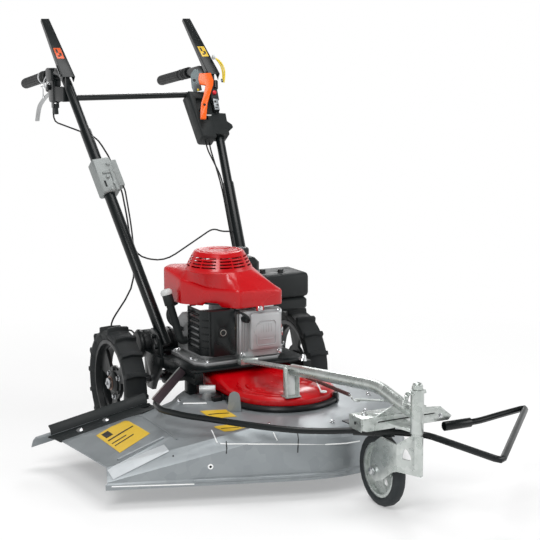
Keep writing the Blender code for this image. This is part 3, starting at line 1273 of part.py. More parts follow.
def build_handlebar():
    bar = rod("handlebar", handle_point(-1, CROSS_BAR_Z), handle_point(1, CROSS_BAR_Z),
              CROSS_BAR_RADIUS, 12)
    for side, label in ((-1, "right"), (1, "left")):
        tube = sweep("tube", handle_path(side), circle(TUBE_RADIUS, 12))
        low = handle_point(side, HANDLE_FOOT_Z + 0.006)
        high = handle_point(side, 0.875 if side < 0 else 0.700)
        combine(tube, rod("sleeve", low, high, LOWER_TUBE_RADIUS, 14))
        pivot = lever_pivot(side)
        across = Vector((0.006, 0.0, 0.0))
        combine(tube, box("lug", pivot - across - Vector((0.0, 0.0065, 0.046)),
                          pivot + across + Vector((0.0, 0.0065, 0.0))))
        combine(tube, rod("lug_top", pivot - across, pivot + across, 0.0065, 12))
        combine(tube, rod("bore", pivot - Vector((0.02, 0, 0)), pivot + Vector((0.02, 0, 0)),
                          0.004 + RUN_GAP, 14), "DIFFERENCE")
        combine(bar, tube)

        start = Vector((side * HANDLE_TOP_X, GRIP_START_Y, grip_height(GRIP_START_Y)))
        end = Vector((side * HANDLE_TOP_X, GRIP_END_Y, grip_height(GRIP_END_Y)))
        length = (end - start).length
        bore = TUBE_RADIUS + GAP
        profile = [(0.0, length - 0.0025), (bore, length - 0.0025), (bore, 0.0), (0.0195, 0.0),
                   (0.0195, 0.006), (GRIP_RADIUS, 0.008), (GRIP_RADIUS, length - 0.004),
                   (GRIP_RADIUS - 0.004, length), (0.0, length)]
        grip = lathe("grip_" + label, profile, 18, frame_matrix(start, end - start))
        paint(grip, RUBBER, 0.0, 0.8)
        build_long_lever(side, label)

    paint(bar, BLACK, 0.2, 0.4)


def lever_pivot(side):
    return Vector((side * HANDLE_TOP_X, LEVER_PIVOT_Y, LEVER_PIVOT_Z))


def build_long_lever(side, label):
    """Channel-shaped hand lever above the grip, open towards the grip."""
    pivot = lever_pivot(side)
    along = Vector((0.0, math.cos(LEVER_RISE), math.sin(LEVER_RISE)))
    frame = frame_matrix(pivot, along, (1, 0, 0))
    sheet = LEVER_SHEET
    sections = [(-0.018, LEVER_HALF_WIDTH, 0.022), (LEVER_LENGTH, LEVER_TIP_HALF_WIDTH, 0.011)]
    vertices = []
    for z, half, depth in sections:
        top = 0.009
        low = top - depth
        ring = [(-half, low), (-half, top), (half, top), (half, low), (half - sheet, low),
                (half - sheet, top - sheet), (-half + sheet, top - sheet), (-half + sheet, low)]
        vertices += [frame @ Vector((x, -y, z)) for x, y in ring]
    faces = []
    for index in range(len(sections) - 1):
        for step in range(8):
            after = (step + 1) % 8
            faces.append((index * 8 + step, index * 8 + after, index * 8 + 8 + after, index * 8 + 8 + step))
    last = (len(sections) - 1) * 8
    for base in (0, last):
        faces.append((base, base + 1, base + 6, base + 7))
        faces.append((base + 1, base + 2, base + 5, base + 6))
        faces.append((base + 2, base + 3, base + 4, base + 5))
    lever = object_from("long_lever_" + label, vertices, faces)
    reach = Vector((LEVER_HALF_WIDTH + 0.003, 0, 0))
    combine(lever, rod("pin", pivot - reach, pivot + reach, 0.004, 14))
    paint(lever, BLACK, 0.1, 0.4)
    set_origin(lever, pivot)


def build_right_controls():
    def by_grip(x, y, z):
        """A place measured from where the handlebar bends back into the right grip."""
        return Vector((-HANDLE_TOP_X + x, HANDLE_TOP_Y + y, HANDLE_TOP_Z + z))

    def by_grip_box(name, low, high):
        return box(name, by_grip(*low), by_grip(*high))

    start_y = HANDLE_TOP_Y + 0.059
    end_y = HANDLE_TOP_Y + 0.123
    start = Vector((-HANDLE_TOP_X, start_y, grip_height(start_y)))
    end = Vector((-HANDLE_TOP_X, end_y, grip_height(end_y)))
    perch = rounded(by_grip_box("lever_perch", (-0.0185, 0.059, -0.036), (0.0185, 0.123, 0.006)), 0.005, 1)
    body = rounded(by_grip_box("body", (-0.016, 0.051, -0.102), (0.012, 0.105, -0.030)), 0.005, 1)
    combine(perch, body)
    combine(perch, by_grip_box("arm", (-0.0030, 0.095, -0.071), (0.0030, 0.135, -0.050)))
    combine(perch, by_grip_box("saddle", (-0.011, -0.032, -0.098), (0.009, 0.055, -0.052)))
    combine(perch, rod("tube_seat", handle_point(-1, 0.930), handle_point(-1, 1.020),
                       TUBE_RADIUS + GAP, 20), "DIFFERENCE")
    combine(perch, rod("bore", start - (end - start) * 2, end + (end - start) * 2, TUBE_RADIUS + GAP, 20),
            "DIFFERENCE")
    pivot = by_grip(0.0, 0.128, -0.063)
    combine(perch, rod("pivot_bore", pivot - Vector((0.03, 0, 0)), pivot + Vector((0.03, 0, 0)),
                       0.003 + RUN_GAP, 14), "DIFFERENCE")
    trigger_pivot = by_grip(-0.002, 0.077, -0.115)
    for side in (-1, 1):
        x = trigger_pivot.x + side * 0.0065
        low, high = sorted((x, x + side * 0.003))
        combine(perch, box("cheek", (low, trigger_pivot.y - 0.010, trigger_pivot.z - 0.007),
                           (high, trigger_pivot.y + 0.012, trigger_pivot.z + 0.017)))
    combine(perch, rod("trigger_pin", trigger_pivot - Vector((0.009, 0, 0)),
                       trigger_pivot + Vector((0.009, 0, 0)), 0.0025, 12))
    paint(perch, BLACK, 0.1, 0.4)

    path = smooth_path([pivot + Vector((0, 0.004, -0.0135)), pivot + Vector((0, 0.060, -0.030)),
                        pivot + Vector((0, 0.128, -0.062)), pivot + Vector((0, 0.154, -0.112))], 0.03, 4)
    blade = sweep("brake_lever", path, [(-0.007, -0.0025), (0.007, -0.0025), (0.007, 0.0025),
                                        (-0.007, 0.0025)])
    for side in (-1, 1):
        x = pivot.x + side * 0.0036
        low, high = sorted((x, x + side * 0.0030))
        combine(blade, box("cheek", (low, pivot.y - 0.006, pivot.z - 0.020),
                           (high, pivot.y + 0.010, pivot.z + 0.006)))
    combine(blade, rod("pin", pivot - Vector((0.0075, 0, 0)), pivot + Vector((0.0075, 0, 0)), 0.003, 14))
    paint(blade, SILVER, 0.9, 0.25)
    set_origin(blade, pivot)

    outline = [(-0.010, 0.006), (0.010, 0.006), (0.012, -0.010), (0.006, -0.024), (-0.004, -0.028),
               (-0.014, -0.026), (-0.012, -0.014)]
    side_on = Matrix(((0, 0, 1, trigger_pivot.x), (1, 0, 0, trigger_pivot.y),
                      (0, 1, 0, trigger_pivot.z), (0, 0, 0, 1)))
    trigger = prism("trigger", outline, -0.0058, 0.0058, [circle(0.0025 + RUN_GAP, 12)], side_on)
    paint(trigger, BLACK, 0.0, 0.5)
    set_origin(trigger, trigger_pivot)

    frame = handle_frame(-1, 0.735)
    clamp = rounded(moved(box("handle_clamp", (-0.026, -0.024, -0.060), (0.034, 0.022, 0.060)), frame),
                    0.004, 1)
    ear = moved(box("ear", (0.030, -0.012, -0.040), (0.056, 0.012, 0.052)), frame)
    combine(clamp, ear)
    combine(clamp, rod("bore", handle_point(-1, 0.60), handle_point(-1, 0.87),
                       LOWER_TUBE_RADIUS + GAP, 20), "DIFFERENCE")
    for z in (-0.035, 0.035):
        combine(clamp, hex_bolt("bolt", frame @ Vector((0.020, -0.0235, z)),
                                frame.to_3x3() @ Vector((0, -1, 0)), 0.012, 0.006))
    paint(clamp, ZINC, 0.7, 0.4)


def build_left_controls():
    frame = handle_frame(1, 0.895)
    case = prism("control_box", [(-0.096, 0.090), (-0.070, -0.085), (-0.019, -0.085), (-0.019, 0.090)],
                 -0.026, 0.030,
                 matrix=frame @ Matrix(((1, 0, 0, 0), (0, 0, 1, 0), (0, 1, 0, 0), (0, 0, 0, 1))))
    rounded(case, 0.005, 1)
    clip = moved(box("clip", (-0.022, -0.024, -0.070), (0.026, 0.024, 0.010)), frame)
    fin = prism("fin", [(0.020, -0.060), (0.052, -0.030), (0.050, -0.020), (0.020, 0.004)], -0.006, 0.0,
                matrix=frame @ Matrix(((1, 0, 0, 0), (0, 0, 1, 0), (0, 1, 0, 0), (0, 0, 0, 1))))
    combine(case, clip)
    combine(case, fin)
    combine(case, rod("bore", handle_point(1, 0.72), handle_point(1, 1.02), TUBE_RADIUS + GAP, 20),
            "DIFFERENCE")
    window = moved(box("window", (-0.072, -0.030, -0.020), (-0.040, -0.014, 0.062)), frame)
    combine(case, window, "DIFFERENCE")
    bar_cut = rod("bar_cut", handle_point(-1, CROSS_BAR_Z), handle_point(1, CROSS_BAR_Z),
                  CROSS_BAR_RADIUS + GAP, 14)
    combine(case, bar_cut, "DIFFERENCE")
    button_home = frame @ Vector((-0.0080, -0.026, 0.078))
    holder = moved(rounded(box("holder", (-0.0215, -0.0390, 0.052), (0.0065, -0.0170, 0.098)), 0.003, 1),
                   frame)
    combine(holder, moved(box("bridge", (-0.0300, -0.0245, 0.056), (-0.0190, -0.0175, 0.086)), frame))
    combine(case, holder)
    combine(case, rod("bore", handle_point(1, 0.72), handle_point(1, 1.02), TUBE_RADIUS + GAP, 20),
            "DIFFERENCE")
    inward = frame.to_3x3() @ Vector((0, 1, 0))
    combine(case, rod("button_bore", button_home - inward * 0.02, button_home + inward * 0.0010,
                      0.0070 + RUN_GAP, 18), "DIFFERENCE")
    pin_at = frame @ Vector((-0.056, -0.008, 0.020))
    combine(case, rod("pin", pin_at, pin_at - inward * 0.0460, 0.004, 10))
    combine(case, rod("spacer", pin_at, pin_at - inward * (SHIFTER_OFFSET - 0.008 - GAP), 0.0075, 12))
    paint(case, BLACK, 0.1, 0.45)

    across = frame @ Matrix(((1, 0, 0, -0.056), (0, 0, -1, -SHIFTER_OFFSET), (0, 1, 0, 0.020),
                             (0, 0, 0, 1)))
    outline = [(0.002, 0.122), (0.043, 0.128), (0.048, 0.098), (0.043, 0.078), (0.025, 0.038),
               (0.012, 0.006), (-0.003, -0.054), (-0.022, -0.055), (-0.016, -0.020), (-0.009, 0.008),
               (0.003, 0.036), (0.018, 0.078), (-0.002, 0.080), (-0.004, 0.100)]
    lever = prism("shift_lever", outline, 0.0, 0.006, [circle(0.004 + RUN_GAP, 12)], across)
    paint(lever, ORANGE, 0.0, 0.4)
    set_origin(lever, across @ Vector((0, 0, 0.003)))

    button = lathe("stop_button", [(0.0, 0.0), (0.0070, 0.0), (0.0070, 0.0150), (0.0055, 0.0170),
                                   (0.0, 0.0172)], 18,
                   frame_matrix(button_home - inward * 0.0020, -inward))
    paint(button, (0.62, 0.02, 0.04), 0.0, 0.35)
    set_origin(button, button_home - inward * 0.0020)


def build_cables():
    def beside(side, height, x, y):
        return handle_frame(side, height) @ Vector((x, y, 0.0))

    brake = cable("cable_drive", [
        (-0.253, HANDLE_TOP_Y + 0.099, HANDLE_TOP_Z - 0.1025),
        (-0.253, HANDLE_TOP_Y + 0.103, HANDLE_TOP_Z - 0.167), beside(-1, 0.850, 0.027, -0.004),
        beside(-1, 0.7930, 0.044, 0.000), beside(-1, 0.7773, 0.044, 0.000)], 0.0028, 0.05, 3)
    lower = cable("cable_gearbox", [
        beside(-1, 0.7024, 0.044, 0.002), beside(-1, 0.6880, 0.044, 0.002),
        beside(-1, 0.620, 0.034, 0.012), (-0.1775, 0.135, 0.431), (-0.255, 0.150, 0.317),
        (-0.242, 0.185, 0.272), (-0.185, 0.1639, 0.2851), (-0.185, 0.1227, 0.2701)], 0.0028, 0.06, 3)
    arc = cable("cable_link", [
        beside(-1, 0.7024, 0.052, -0.006), beside(-1, 0.6880, 0.052, -0.006),
        beside(-1, 0.600, 0.040, 0.016), (-0.165, 0.175, 0.508), (-0.067, 0.178, 0.482),
        (0.020, 0.178, 0.530), (0.100, 0.180, 0.574),
        beside(1, 0.560, -0.048, 0.007), beside(1, 0.560, -0.0181, 0.005)], 0.0026, 0.09, 4)
    throttle = cable("cable_throttle", [
        handle_frame(1, 0.895) @ Vector((-0.052, 0.0, -0.0860)),
        handle_frame(1, 0.895) @ Vector((-0.050, 0.0, -0.120)), beside(1, 0.715, -0.0225, -0.006),
        beside(1, 0.382, -0.0225, -0.006), (0.120, 0.020, 0.348), (0.116, -0.050, 0.335),
        (0.116, -0.090 + GAP, 0.335)], 0.0026, 0.03, 3)
    stop = cable("cable_blade", [
        handle_frame(1, 0.895) @ Vector((-0.034, 0.012, -0.0860)),
        handle_frame(1, 0.895) @ Vector((-0.034, 0.012, -0.110)), beside(1, 0.700, -0.0165, 0.0165),
        beside(1, 0.450, -0.0165, 0.0165), beside(1, 0.360, -0.022, 0.018), (0.100, 0.110, 0.300),
        (0.064, 0.0870, 0.2580)], 0.0026, 0.05, 3)
    for made in (brake, lower, arc, throttle, stop):
        paint(made, RUBBER, 0.0, 0.6)


def centre_on_floor():
    """Moves everything so that the footprint is centred and the lowest point is on the floor."""
    bpy.context.view_layer.update()
    graph = bpy.context.evaluated_depsgraph_get()
    low = Vector((1e9, 1e9, 1e9))
    high = -low
    for obj in bpy.data.objects:
        shown = obj.evaluated_get(graph)
        mesh = shown.to_mesh()
        for vert in mesh.vertices:
            point = shown.matrix_world @ vert.co
            low = Vector(min(pair) for pair in zip(low, point))
            high = Vector(max(pair) for pair in zip(high, point))
        shown.to_mesh_clear()
    shift = Vector((-(low.x + high.x) / 2.0, -(low.y + high.y) / 2.0, -low.z))
    for obj in bpy.data.objects:
        obj.location += shift
    print("moved by", [round(v, 5) for v in shift], "size", [round(v, 4) for v in high - low])


clear_scene()
build_rear_wheel(-1, "right")
build_rear_wheel(1, "left")
build_castor()
mower_deck = build_deck()
build_chute_rear()
build_belt_cover(mower_deck)
build_blade_drive()
build_frame()
build_transmission()
build_front()
build_engine_block()
build_fan_cover()
build_rotor()
build_engine_fittings()
build_handlebar()
build_right_controls()
build_left_controls()
build_cables()
centre_on_floor()
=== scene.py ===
# %% [markdown]
# # A self-propelled lawn mower, dressed for a photograph
# The solids of this mower are already packed as a frame: every part has its true size and place.
# Here each solid gets the finish of the real one, and the small things that make it look real are
# modelled on top: bolts, hoses, ribs, springs and labels. All sizes are metres.

# %% Load the frame
import bpy
import json
import math
from mathutils import Matrix, Vector


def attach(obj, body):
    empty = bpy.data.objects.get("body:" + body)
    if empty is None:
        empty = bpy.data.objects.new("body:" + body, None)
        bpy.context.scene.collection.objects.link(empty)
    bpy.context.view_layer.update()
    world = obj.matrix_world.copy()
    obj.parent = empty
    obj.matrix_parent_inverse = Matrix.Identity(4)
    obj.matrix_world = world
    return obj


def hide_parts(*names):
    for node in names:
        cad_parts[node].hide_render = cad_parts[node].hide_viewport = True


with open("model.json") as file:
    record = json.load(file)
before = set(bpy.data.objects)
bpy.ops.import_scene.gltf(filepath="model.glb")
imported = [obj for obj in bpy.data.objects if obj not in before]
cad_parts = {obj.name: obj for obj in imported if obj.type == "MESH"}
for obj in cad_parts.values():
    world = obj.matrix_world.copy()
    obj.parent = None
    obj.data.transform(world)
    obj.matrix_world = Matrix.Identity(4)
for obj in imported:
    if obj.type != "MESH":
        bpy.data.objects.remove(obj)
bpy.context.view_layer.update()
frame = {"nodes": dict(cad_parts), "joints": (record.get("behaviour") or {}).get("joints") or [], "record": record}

# %% [markdown]
# The mower's own middle is the point on the ground under the drive wheels' axle. It is a handy
# place to measure from, so every place below is written from there, and one function moves it
# to the frame's coordinates. The right wheel's joint in the record says where the axle is.

# %% Measure from the axle
AXLE_RIGHT = (-.294, 0, .168)
wheel_joint = next(joint for joint in frame["joints"] if joint["name"] == "right_wheel_spin")
MIDDLE = Vector(wheel_joint["pos_m"]) - Vector(AXLE_RIGHT)


def at(x, y, z):
    """A place measured from the ground under the middle of the axle."""
    return MIDDLE + Vector((x, y, z))


print("middle of the axle stands over", [round(value, 4) for value in MIDDLE])

# %% [markdown]
# Colours are written as the hex values that a paint card or a screen shows. Blender's shaders
# count light in linear steps instead, so one function turns the first into the second. The
# other functions add one shader node each, so that each material below reads as a short recipe.

# %% Colours and shader nodes
def linear(code):
    """An sRGB hex colour as the linear colour that a shader needs."""
    parts = [int(code[i:i + 2], 16) / 255 for i in (1, 3, 5)]
    return [part / 12.92 if part <= .04045 else ((part + .055) / 1.055) ** 2.4 for part in parts] + [1]


def fill(tree, node, inputs):
    """Gives the inputs of a node their values or links."""
    for name, value in inputs.items():
        if isinstance(value, bpy.types.NodeSocket):
            tree.links.new(value, node.inputs[name])
        else:
            node.inputs[name].default_value = value
    return node


def add(tree, kind, inputs, **settings):
    """Adds a shader node, with its settings, and its inputs as values or links."""
    made = tree.nodes.new("ShaderNode" + kind)
    for name, value in settings.items():
        setattr(made, name, value)
    return fill(tree, made, inputs)


def per(millimetres):
    """The scale of a pattern whose features are this size."""
    return 1000 / millimetres


def noise(tree, place, size, detail, **inputs):
    """A noise with features of a size in millimetres."""
    return add(tree, "TexNoise", {"Vector": place, "Scale": per(size), "Detail": detail, **inputs})


def remap(tree, value, low, high, first, last):
    """Moves a value from the range low to high into the range first to last."""
    made = add(tree, "MapRange", {"Value": value, "From Min": low, "From Max": high, "To Min": first,
                                  "To Max": last})
    return made.outputs["Result"]


def mix(tree, share, first, second):
    """Mixes two colours by a share."""
    return add(tree, "MixRGB", {"Fac": share, "Color1": first, "Color2": second}).outputs["Color"]


def relief(tree, height, depth, strength):
    """Makes a height show as relief of a depth in metres."""
    made = add(tree, "Bump", {"Height": height, "Distance": depth, "Strength": strength})
    return made.outputs["Normal"]


def start(name):
    """A new material: its node tree, its place coordinates and its shader."""
    material = bpy.data.materials.new(name)
    material.use_nodes = True
    tree = material.node_tree
    place = tree.nodes.new("ShaderNodeTexCoord").outputs["Object"]
    print("material", name)
    return material, tree, place, tree.nodes["Principled BSDF"]


def surface(tree, shader, **inputs):
    """Fills the shader's inputs; an underscore stands for a space."""
    fill(tree, shader, {name.replace("_", " "): value for name, value in inputs.items()})


# %% [markdown]
# Most parts of a mower are one of a few things: moulded plastic, painted sheet, cast metal.
# Each is an even colour with a slow drift in it, a shine that drifts as well, and a fine grain
# that only a close look shows. One recipe serves them all, with the sizes of the drift and of
# the grain in millimetres, and each material after it says what it is and how it was made.

# %% The recipe for an even finish
def even_finish(name, light, dark, drift, shine, grain, depth, metallic=0, coat=0, mirror=.5):
    """A surface that drifts between two colours and two roughnesses, with a fine grain."""
    material, tree, place, shader = start(name)
    slow = noise(tree, place, drift, 3).outputs["Fac"]
    fine = noise(tree, place, grain, 2).outputs["Fac"]
    surface(tree, shader, Base_Color=mix(tree, slow, linear(dark), linear(light)),
            Roughness=remap(tree, slow, .3, .7, *shine), Normal=relief(tree, fine, depth * .001, .6),
            Metallic=metallic, Coat_Weight=coat, Coat_Roughness=.08, Specular_IOR_Level=mirror)
    return material


# %% [markdown]
# **Plastics.** The engine's shroud and the belt cover are ABS, injection moulded in a polished
# tool, so they are glossy with a faint orange-peel. The black boxes and caps are polypropylene
# from a spark-eroded tool, which leaves a fine matt grain. The orange lever is glossy nylon.

# %% Plastics
red_abs = even_finish("polished_red_abs", "#C9020E", "#B2010A", 90, (.2, .3), 6, .05, coat=.15, mirror=.4)
black_pp = even_finish("grained_black_polypropylene", "#1C2122", "#141818", 40, (.48, .62), .9, .06,
                       mirror=.35)
black_abs = even_finish("satin_black_abs", "#15191A", "#0E1112", 60, (.28, .4), 2, .03, mirror=.35)
pale_cap = even_finish("moulded_pale_grey_cap", "#D4D6D5", "#C3C6C5", 20, (.3, .42), 1.5, .03)
orange_nylon = even_finish("moulded_orange_nylon", "#F5691A", "#E85A10", 25, (.24, .34), 1.5, .03)
button_red = even_finish("moulded_red_button", "#D21426", "#BC0E1E", 10, (.25, .35), 1, .02)

# %% [markdown]
# **Rubbers.** The seal, the grips and the cable sleeves are vulcanised or extruded rubber and
# PVC: near black, and dull because the skin is slightly porous.

# %% Rubbers
seal_rubber = even_finish("extruded_black_rubber", "#1C2223", "#131718", 50, (.5, .66), 1.5, .08,
                          mirror=.35)
grip_rubber = even_finish("dipped_grip_rubber", "#232526", "#191B1B", 18, (.55, .7), 1.2, .1, mirror=.35)
cable_sleeve = even_finish("extruded_cable_sleeve", "#131516", "#0D0F0F", 30, (.32, .44), 3, .02,
                           mirror=.35)

# %% [markdown]
# **Painted metal.** The frame, handlebar and guard tube are steel tube with a baked powder coat.
# It is almost black with a blue-green cast, and melts into a smooth skin with a soft gloss.
# The engine's castings are aluminium with a sandy skin, some of it lacquered silver.

# %% Painted metal and castings
powder_black = even_finish("powder_coated_black_steel", "#0F1516", "#0A0F10", 120, (.24, .34), 2.5, .05,
                           mirror=.32)
gear_black = even_finish("painted_black_casting", "#121617", "#0C0F10", 50, (.36, .5), 2, .15, mirror=.35)
cast_metal = even_finish("sand_cast_aluminium", "#C3C4C4", "#A7A9AA", 25, (.42, .58), 1.4, .12, .85)
rocker_silver = even_finish("lacquered_die_cast_aluminium", "#BFC0C1", "#A9ABAD", 30, (.44, .56), 1.1,
                            .1, .45)
clamp_metal = even_finish("die_cast_clamp", "#A4A8A7", "#868B8A", 15, (.55, .68), 1.5, .1, .5)
red_paint = even_finish("red_painted_steel", "#B02418", "#9A1C12", 10, (.35, .45), 1, .03)
bearing_iron = even_finish("machined_cast_iron", "#8E9092", "#76787A", 12, (.4, .55), 1, .06, .9)

# %% [markdown]
# **Bright metal.** Turned and pressed steel is left bare or nickel plated. It shows fine marks
# from its making, drawn here a little coarser than they are so that they show at all.

# %% Bright metal
turned_steel = even_finish("turned_steel", "#C4C6C8", "#A9ABAE", 15, (.24, .4), .8, .03, 1)
bright_plate = even_finish("nickel_plated_steel", "#DADBDC", "#C6C8CA", 20, (.14, .24), 2, .02, 1)


# %% [markdown]
# **Galvanised steel.** The front arm, the castor's fork and the brackets were dipped in molten
# zinc, which freezes into crystals called spangle. Neighbouring crystals differ a little in
# shade and shine. Cells of a Voronoi pattern give each crystal its own shade, and a slow noise
# dulls whole areas, as old zinc does.

# %% Galvanised steel
def spangled(name, light, dark, crystal, shine, metallic):
    """Zinc crystals of one size, each with its own shade and shine."""
    material, tree, place, shader = start(name)
    warp = noise(tree, place, crystal * 1.5, 2)
    shifted = add(tree, "VectorMath", {0: warp.outputs["Color"], 1: (crystal * .0005,) * 3},
                  operation="MULTIPLY")
    bent = add(tree, "VectorMath", {0: place, 1: shifted.outputs["Vector"]}, operation="ADD")
    cells = add(tree, "TexVoronoi", {"Vector": bent.outputs["Vector"], "Scale": per(crystal)})
    shade = add(tree, "RGBToBW", {"Color": cells.outputs["Color"]})
    slow = noise(tree, place, 110, 4)
    blend = add(tree, "Math", {0: shade.outputs["Val"], 1: slow.outputs["Fac"]},
                operation="MULTIPLY").outputs["Value"]
    grit = noise(tree, place, 2.2, 3).outputs["Fac"]
    surface(tree, shader, Base_Color=mix(tree, blend, linear(dark), linear(light)),
            Roughness=remap(tree, blend, 0, .6, *shine), Normal=relief(tree, grit, .00006, .5),
            Metallic=metallic)
    return material


zinc = spangled("galvanised_steel", "#E4E7E5", "#B2B9B5", 13, (.24, .38), .75)
deck_metal = spangled("galvanised_deck_sheet", "#A2A7AA", "#8C9295", 26, (.36, .46), .45)

# %% [markdown]
# **The muffler.** Plain sheet steel that runs red hot keeps straw and brown stains where it was
# hottest. The stain is a slow noise, used as a mask between clean steel and straw brown.

# %% Heat-stained steel
def heat_stained():
    """Clean steel with straw brown stains."""
    material, tree, place, shader = start("heat_stained_sheet_steel")
    stain = noise(tree, place, 35, 4).outputs["Fac"]
    mask = remap(tree, stain, .45, .65, 0, 1)
    surface(tree, shader, Base_Color=mix(tree, mask, linear("#A9A8A4"), linear("#7D6F5E")),
            Roughness=remap(tree, stain, 0, 1, .3, .5), Metallic=.9)
    return material


muffler_steel = heat_stained()

# %% [markdown]
# **Tyres.** Rubber with carbon black goes grey as it scuffs. A fine noise roughens the skin, and
# a wider one lays a little dust on it, mostly a change of shade.

# %% Tyre rubber
def tyre_rubber(name, clean, dusty, cover):
    """Scuffed rubber; cover says how much of the dust shows."""
    material, tree, place, shader = start(name)
    dust = noise(tree, place, 28, 5, Roughness=.6).outputs["Fac"]
    skin = noise(tree, place, 1.6, 3).outputs["Fac"]
    mask = remap(tree, dust, .45, .8, 0, cover)
    surface(tree, shader, Base_Color=mix(tree, mask, linear(clean), linear(dusty)),
            Roughness=remap(tree, dust, 0, 1, .5, .78), Normal=relief(tree, skin, .00015, .6),
            Specular_IOR_Level=.35)
    return material


drive_rubber = tyre_rubber("cleated_tyre_rubber", "#15191B", "#33362F", .25)
castor_rubber = tyre_rubber("castor_tyre_rubber", "#24292B", "#44484A", .35)

# %% [markdown]
# Each solid of the frame now takes its finish. A dictionary lists them by finish, so that a
# change of finish is one line. The solids that are replaced below by finer pieces hand their
# finish on to them.

# %% A finish for every solid
FINISHES = {
    drive_rubber: ["tyre_right", "tyre_left"],
    castor_rubber: ["castor_tyre"],
    black_abs: ["rim_right", "rim_left"],
    zinc: ["castor_rim", "castor_fork", "support_arm", "front_bracket"],
    clamp_metal: ["handle_clamp"],
    deck_metal: ["mower_deck", "rear_deflector"],
    seal_rubber: ["chute_seal", "drive_belt", "spark_plug_cap"],
    red_abs: ["belt_cover", "fan_cover"],
    black_pp: ["cover_ring", "oil_filler", "fuel_tank", "fuel_cap", "air_cleaner_base",
               "air_cleaner_cover", "starter_handle", "trigger", "control_box"],
    powder_black: ["chassis_frame", "bumper", "muffler_guard", "handlebar", "long_lever_right",
                   "long_lever_left", "lever_perch"],
    gear_black: ["drive_housing"],
    cast_metal: ["crankcase", "carburettor", "pivot_bush", "brake_lever"],
    rocker_silver: ["rocker_cover"],
    muffler_steel: ["muffler"],
    turned_steel: ["half_shaft_right", "half_shaft_left", "castor_axle", "blade_shaft",
                   "cutting_blade", "blade_bolt", "crankshaft"],
    bearing_iron: ["bearing_housing", "flywheel"],
    pale_cap: ["oil_cap"],
    red_paint: ["choke_lever"],
    grip_rubber: ["grip_right", "grip_left"],
    orange_nylon: ["shift_lever"],
    button_red: ["stop_button"],
    cable_sleeve: ["cable_drive", "cable_gearbox", "cable_link", "cable_throttle", "cable_blade"],
}
finish_of = {node: finish for finish, nodes in FINISHES.items() for node in nodes}
body_of = {node: body for body, nodes in frame["record"]["behaviour"]["bodies"].items()
           for node in nodes}
for node, solid in frame["nodes"].items():
    for place in solid.material_slots:
        place.material = finish_of[node]
print(len(finish_of), "solids have a finish")

# %% [markdown]
# A solid has knife-sharp edges, and no real part does. A press leaves a radius of about its
# sheet's thickness, and a mould one of half a millimetre or more. That thin rounded strip
# catches the light, and the eye reads it as a real edge. So a visible solid is copied, its loose
# triangles are merged, its sharp edges are bevelled, and the copy takes the solid's place.

# %% Rounding a solid's edges
def only(piece):
    """Selects one piece, and nothing else."""
    bpy.ops.object.select_all(action="DESELECT")
    piece.select_set(True)
    bpy.context.view_layer.objects.active = piece


def new_piece(name, data):
    """Adds an object for a mesh or a curve to the scene."""
    piece = bpy.data.objects.new(name, data)
    bpy.context.scene.collection.objects.link(piece)
    only(piece)
    return piece


def edit_all():
    """Opens the active piece's mesh with all of it selected."""
    bpy.ops.object.mode_set(mode="EDIT")
    bpy.ops.mesh.select_all(action="SELECT")


def dress(piece, name, body, finish):
    """Gives a finished piece its name, finish and body; its place goes into its mesh."""
    only(piece)
    for modifier in list(piece.modifiers):
        bpy.ops.object.modifier_apply(modifier=modifier.name)
    bpy.ops.object.transform_apply(location=True, rotation=True, scale=True)
    piece.name = piece.data.name = name
    piece.data.materials.clear()
    piece.data.materials.append(finish)
    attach(piece, body)
    return piece


def copy_solid(node):
    """A merged copy of a solid, ready to be worked on."""
    piece = new_piece(node + "_shell", frame["nodes"][node].data.copy())
    bpy.ops.mesh.customdata_custom_splitnormals_clear()
    edit_all()
    bpy.ops.mesh.remove_doubles(threshold=.00002)
    bpy.ops.mesh.dissolve_limited(angle_limit=math.radians(.5))
    bpy.ops.object.mode_set(mode="OBJECT")
    return piece


SHARP = math.radians(40)


def rounded(node, radius):
    """Puts a copy with rounded edges in the place of a solid."""
    piece = copy_solid(node)
    bevel = piece.modifiers.new("edge radius", "BEVEL")
    bevel.width = radius
    bevel.segments = 2
    bevel.limit_method = "ANGLE"
    bevel.angle_limit = SHARP
    bevel.use_clamp_overlap = True
    dress(piece, node + "_finished", body_of[node], finish_of[node])
    only(piece)
    bpy.ops.object.shade_smooth_by_angle(angle=SHARP)
    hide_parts(node)
    return piece


EDGE_RADIUS = {
    .0035: ["belt_cover"],
    .0012: ["mower_deck", "rear_deflector", "support_arm", "castor_fork", "chassis_frame",
            "drive_housing", "front_bracket", "handlebar", "castor_rim", "muffler_guard",
            "muffler", "cutting_blade", "bearing_housing"],
    .002: ["tyre_right", "tyre_left", "castor_tyre", "crankcase", "rocker_cover",
           "fuel_tank", "air_cleaner_base", "air_cleaner_cover", "flywheel"],
    .001: ["rim_right", "rim_left", "cover_ring", "bumper", "control_box", "handle_clamp",
           "grip_right", "grip_left", "long_lever_right", "long_lever_left", "oil_filler",
           "fuel_cap", "starter_handle", "spark_plug_cap", "carburettor", "shift_lever",
           "oil_cap", "chute_seal", "drive_belt"],
    .0004: ["pivot_bush", "lever_perch", "brake_lever", "trigger", "choke_lever", "stop_button",
            "half_shaft_right", "half_shaft_left", "castor_axle", "blade_shaft", "blade_bolt",
            "crankshaft", "cable_drive", "cable_gearbox", "cable_link", "cable_throttle",
            "cable_blade"],
}
shell = {node: rounded(node, radius) for radius, nodes in EDGE_RADIUS.items() for node in nodes}
print(len(shell), "solids have rounded edges")

# %% [markdown]
# **Tools for the small parts.** Most of them are one of a few things: a block with rounded edges,
# a piece turned on a lathe, a rod or hose along a line, a flat plate cut to an outline, or a bolt.
# Each is made here the way a modeller makes it by hand: a primitive is added and its edges are
# bevelled, a line is spun round an axis, a face is extruded.

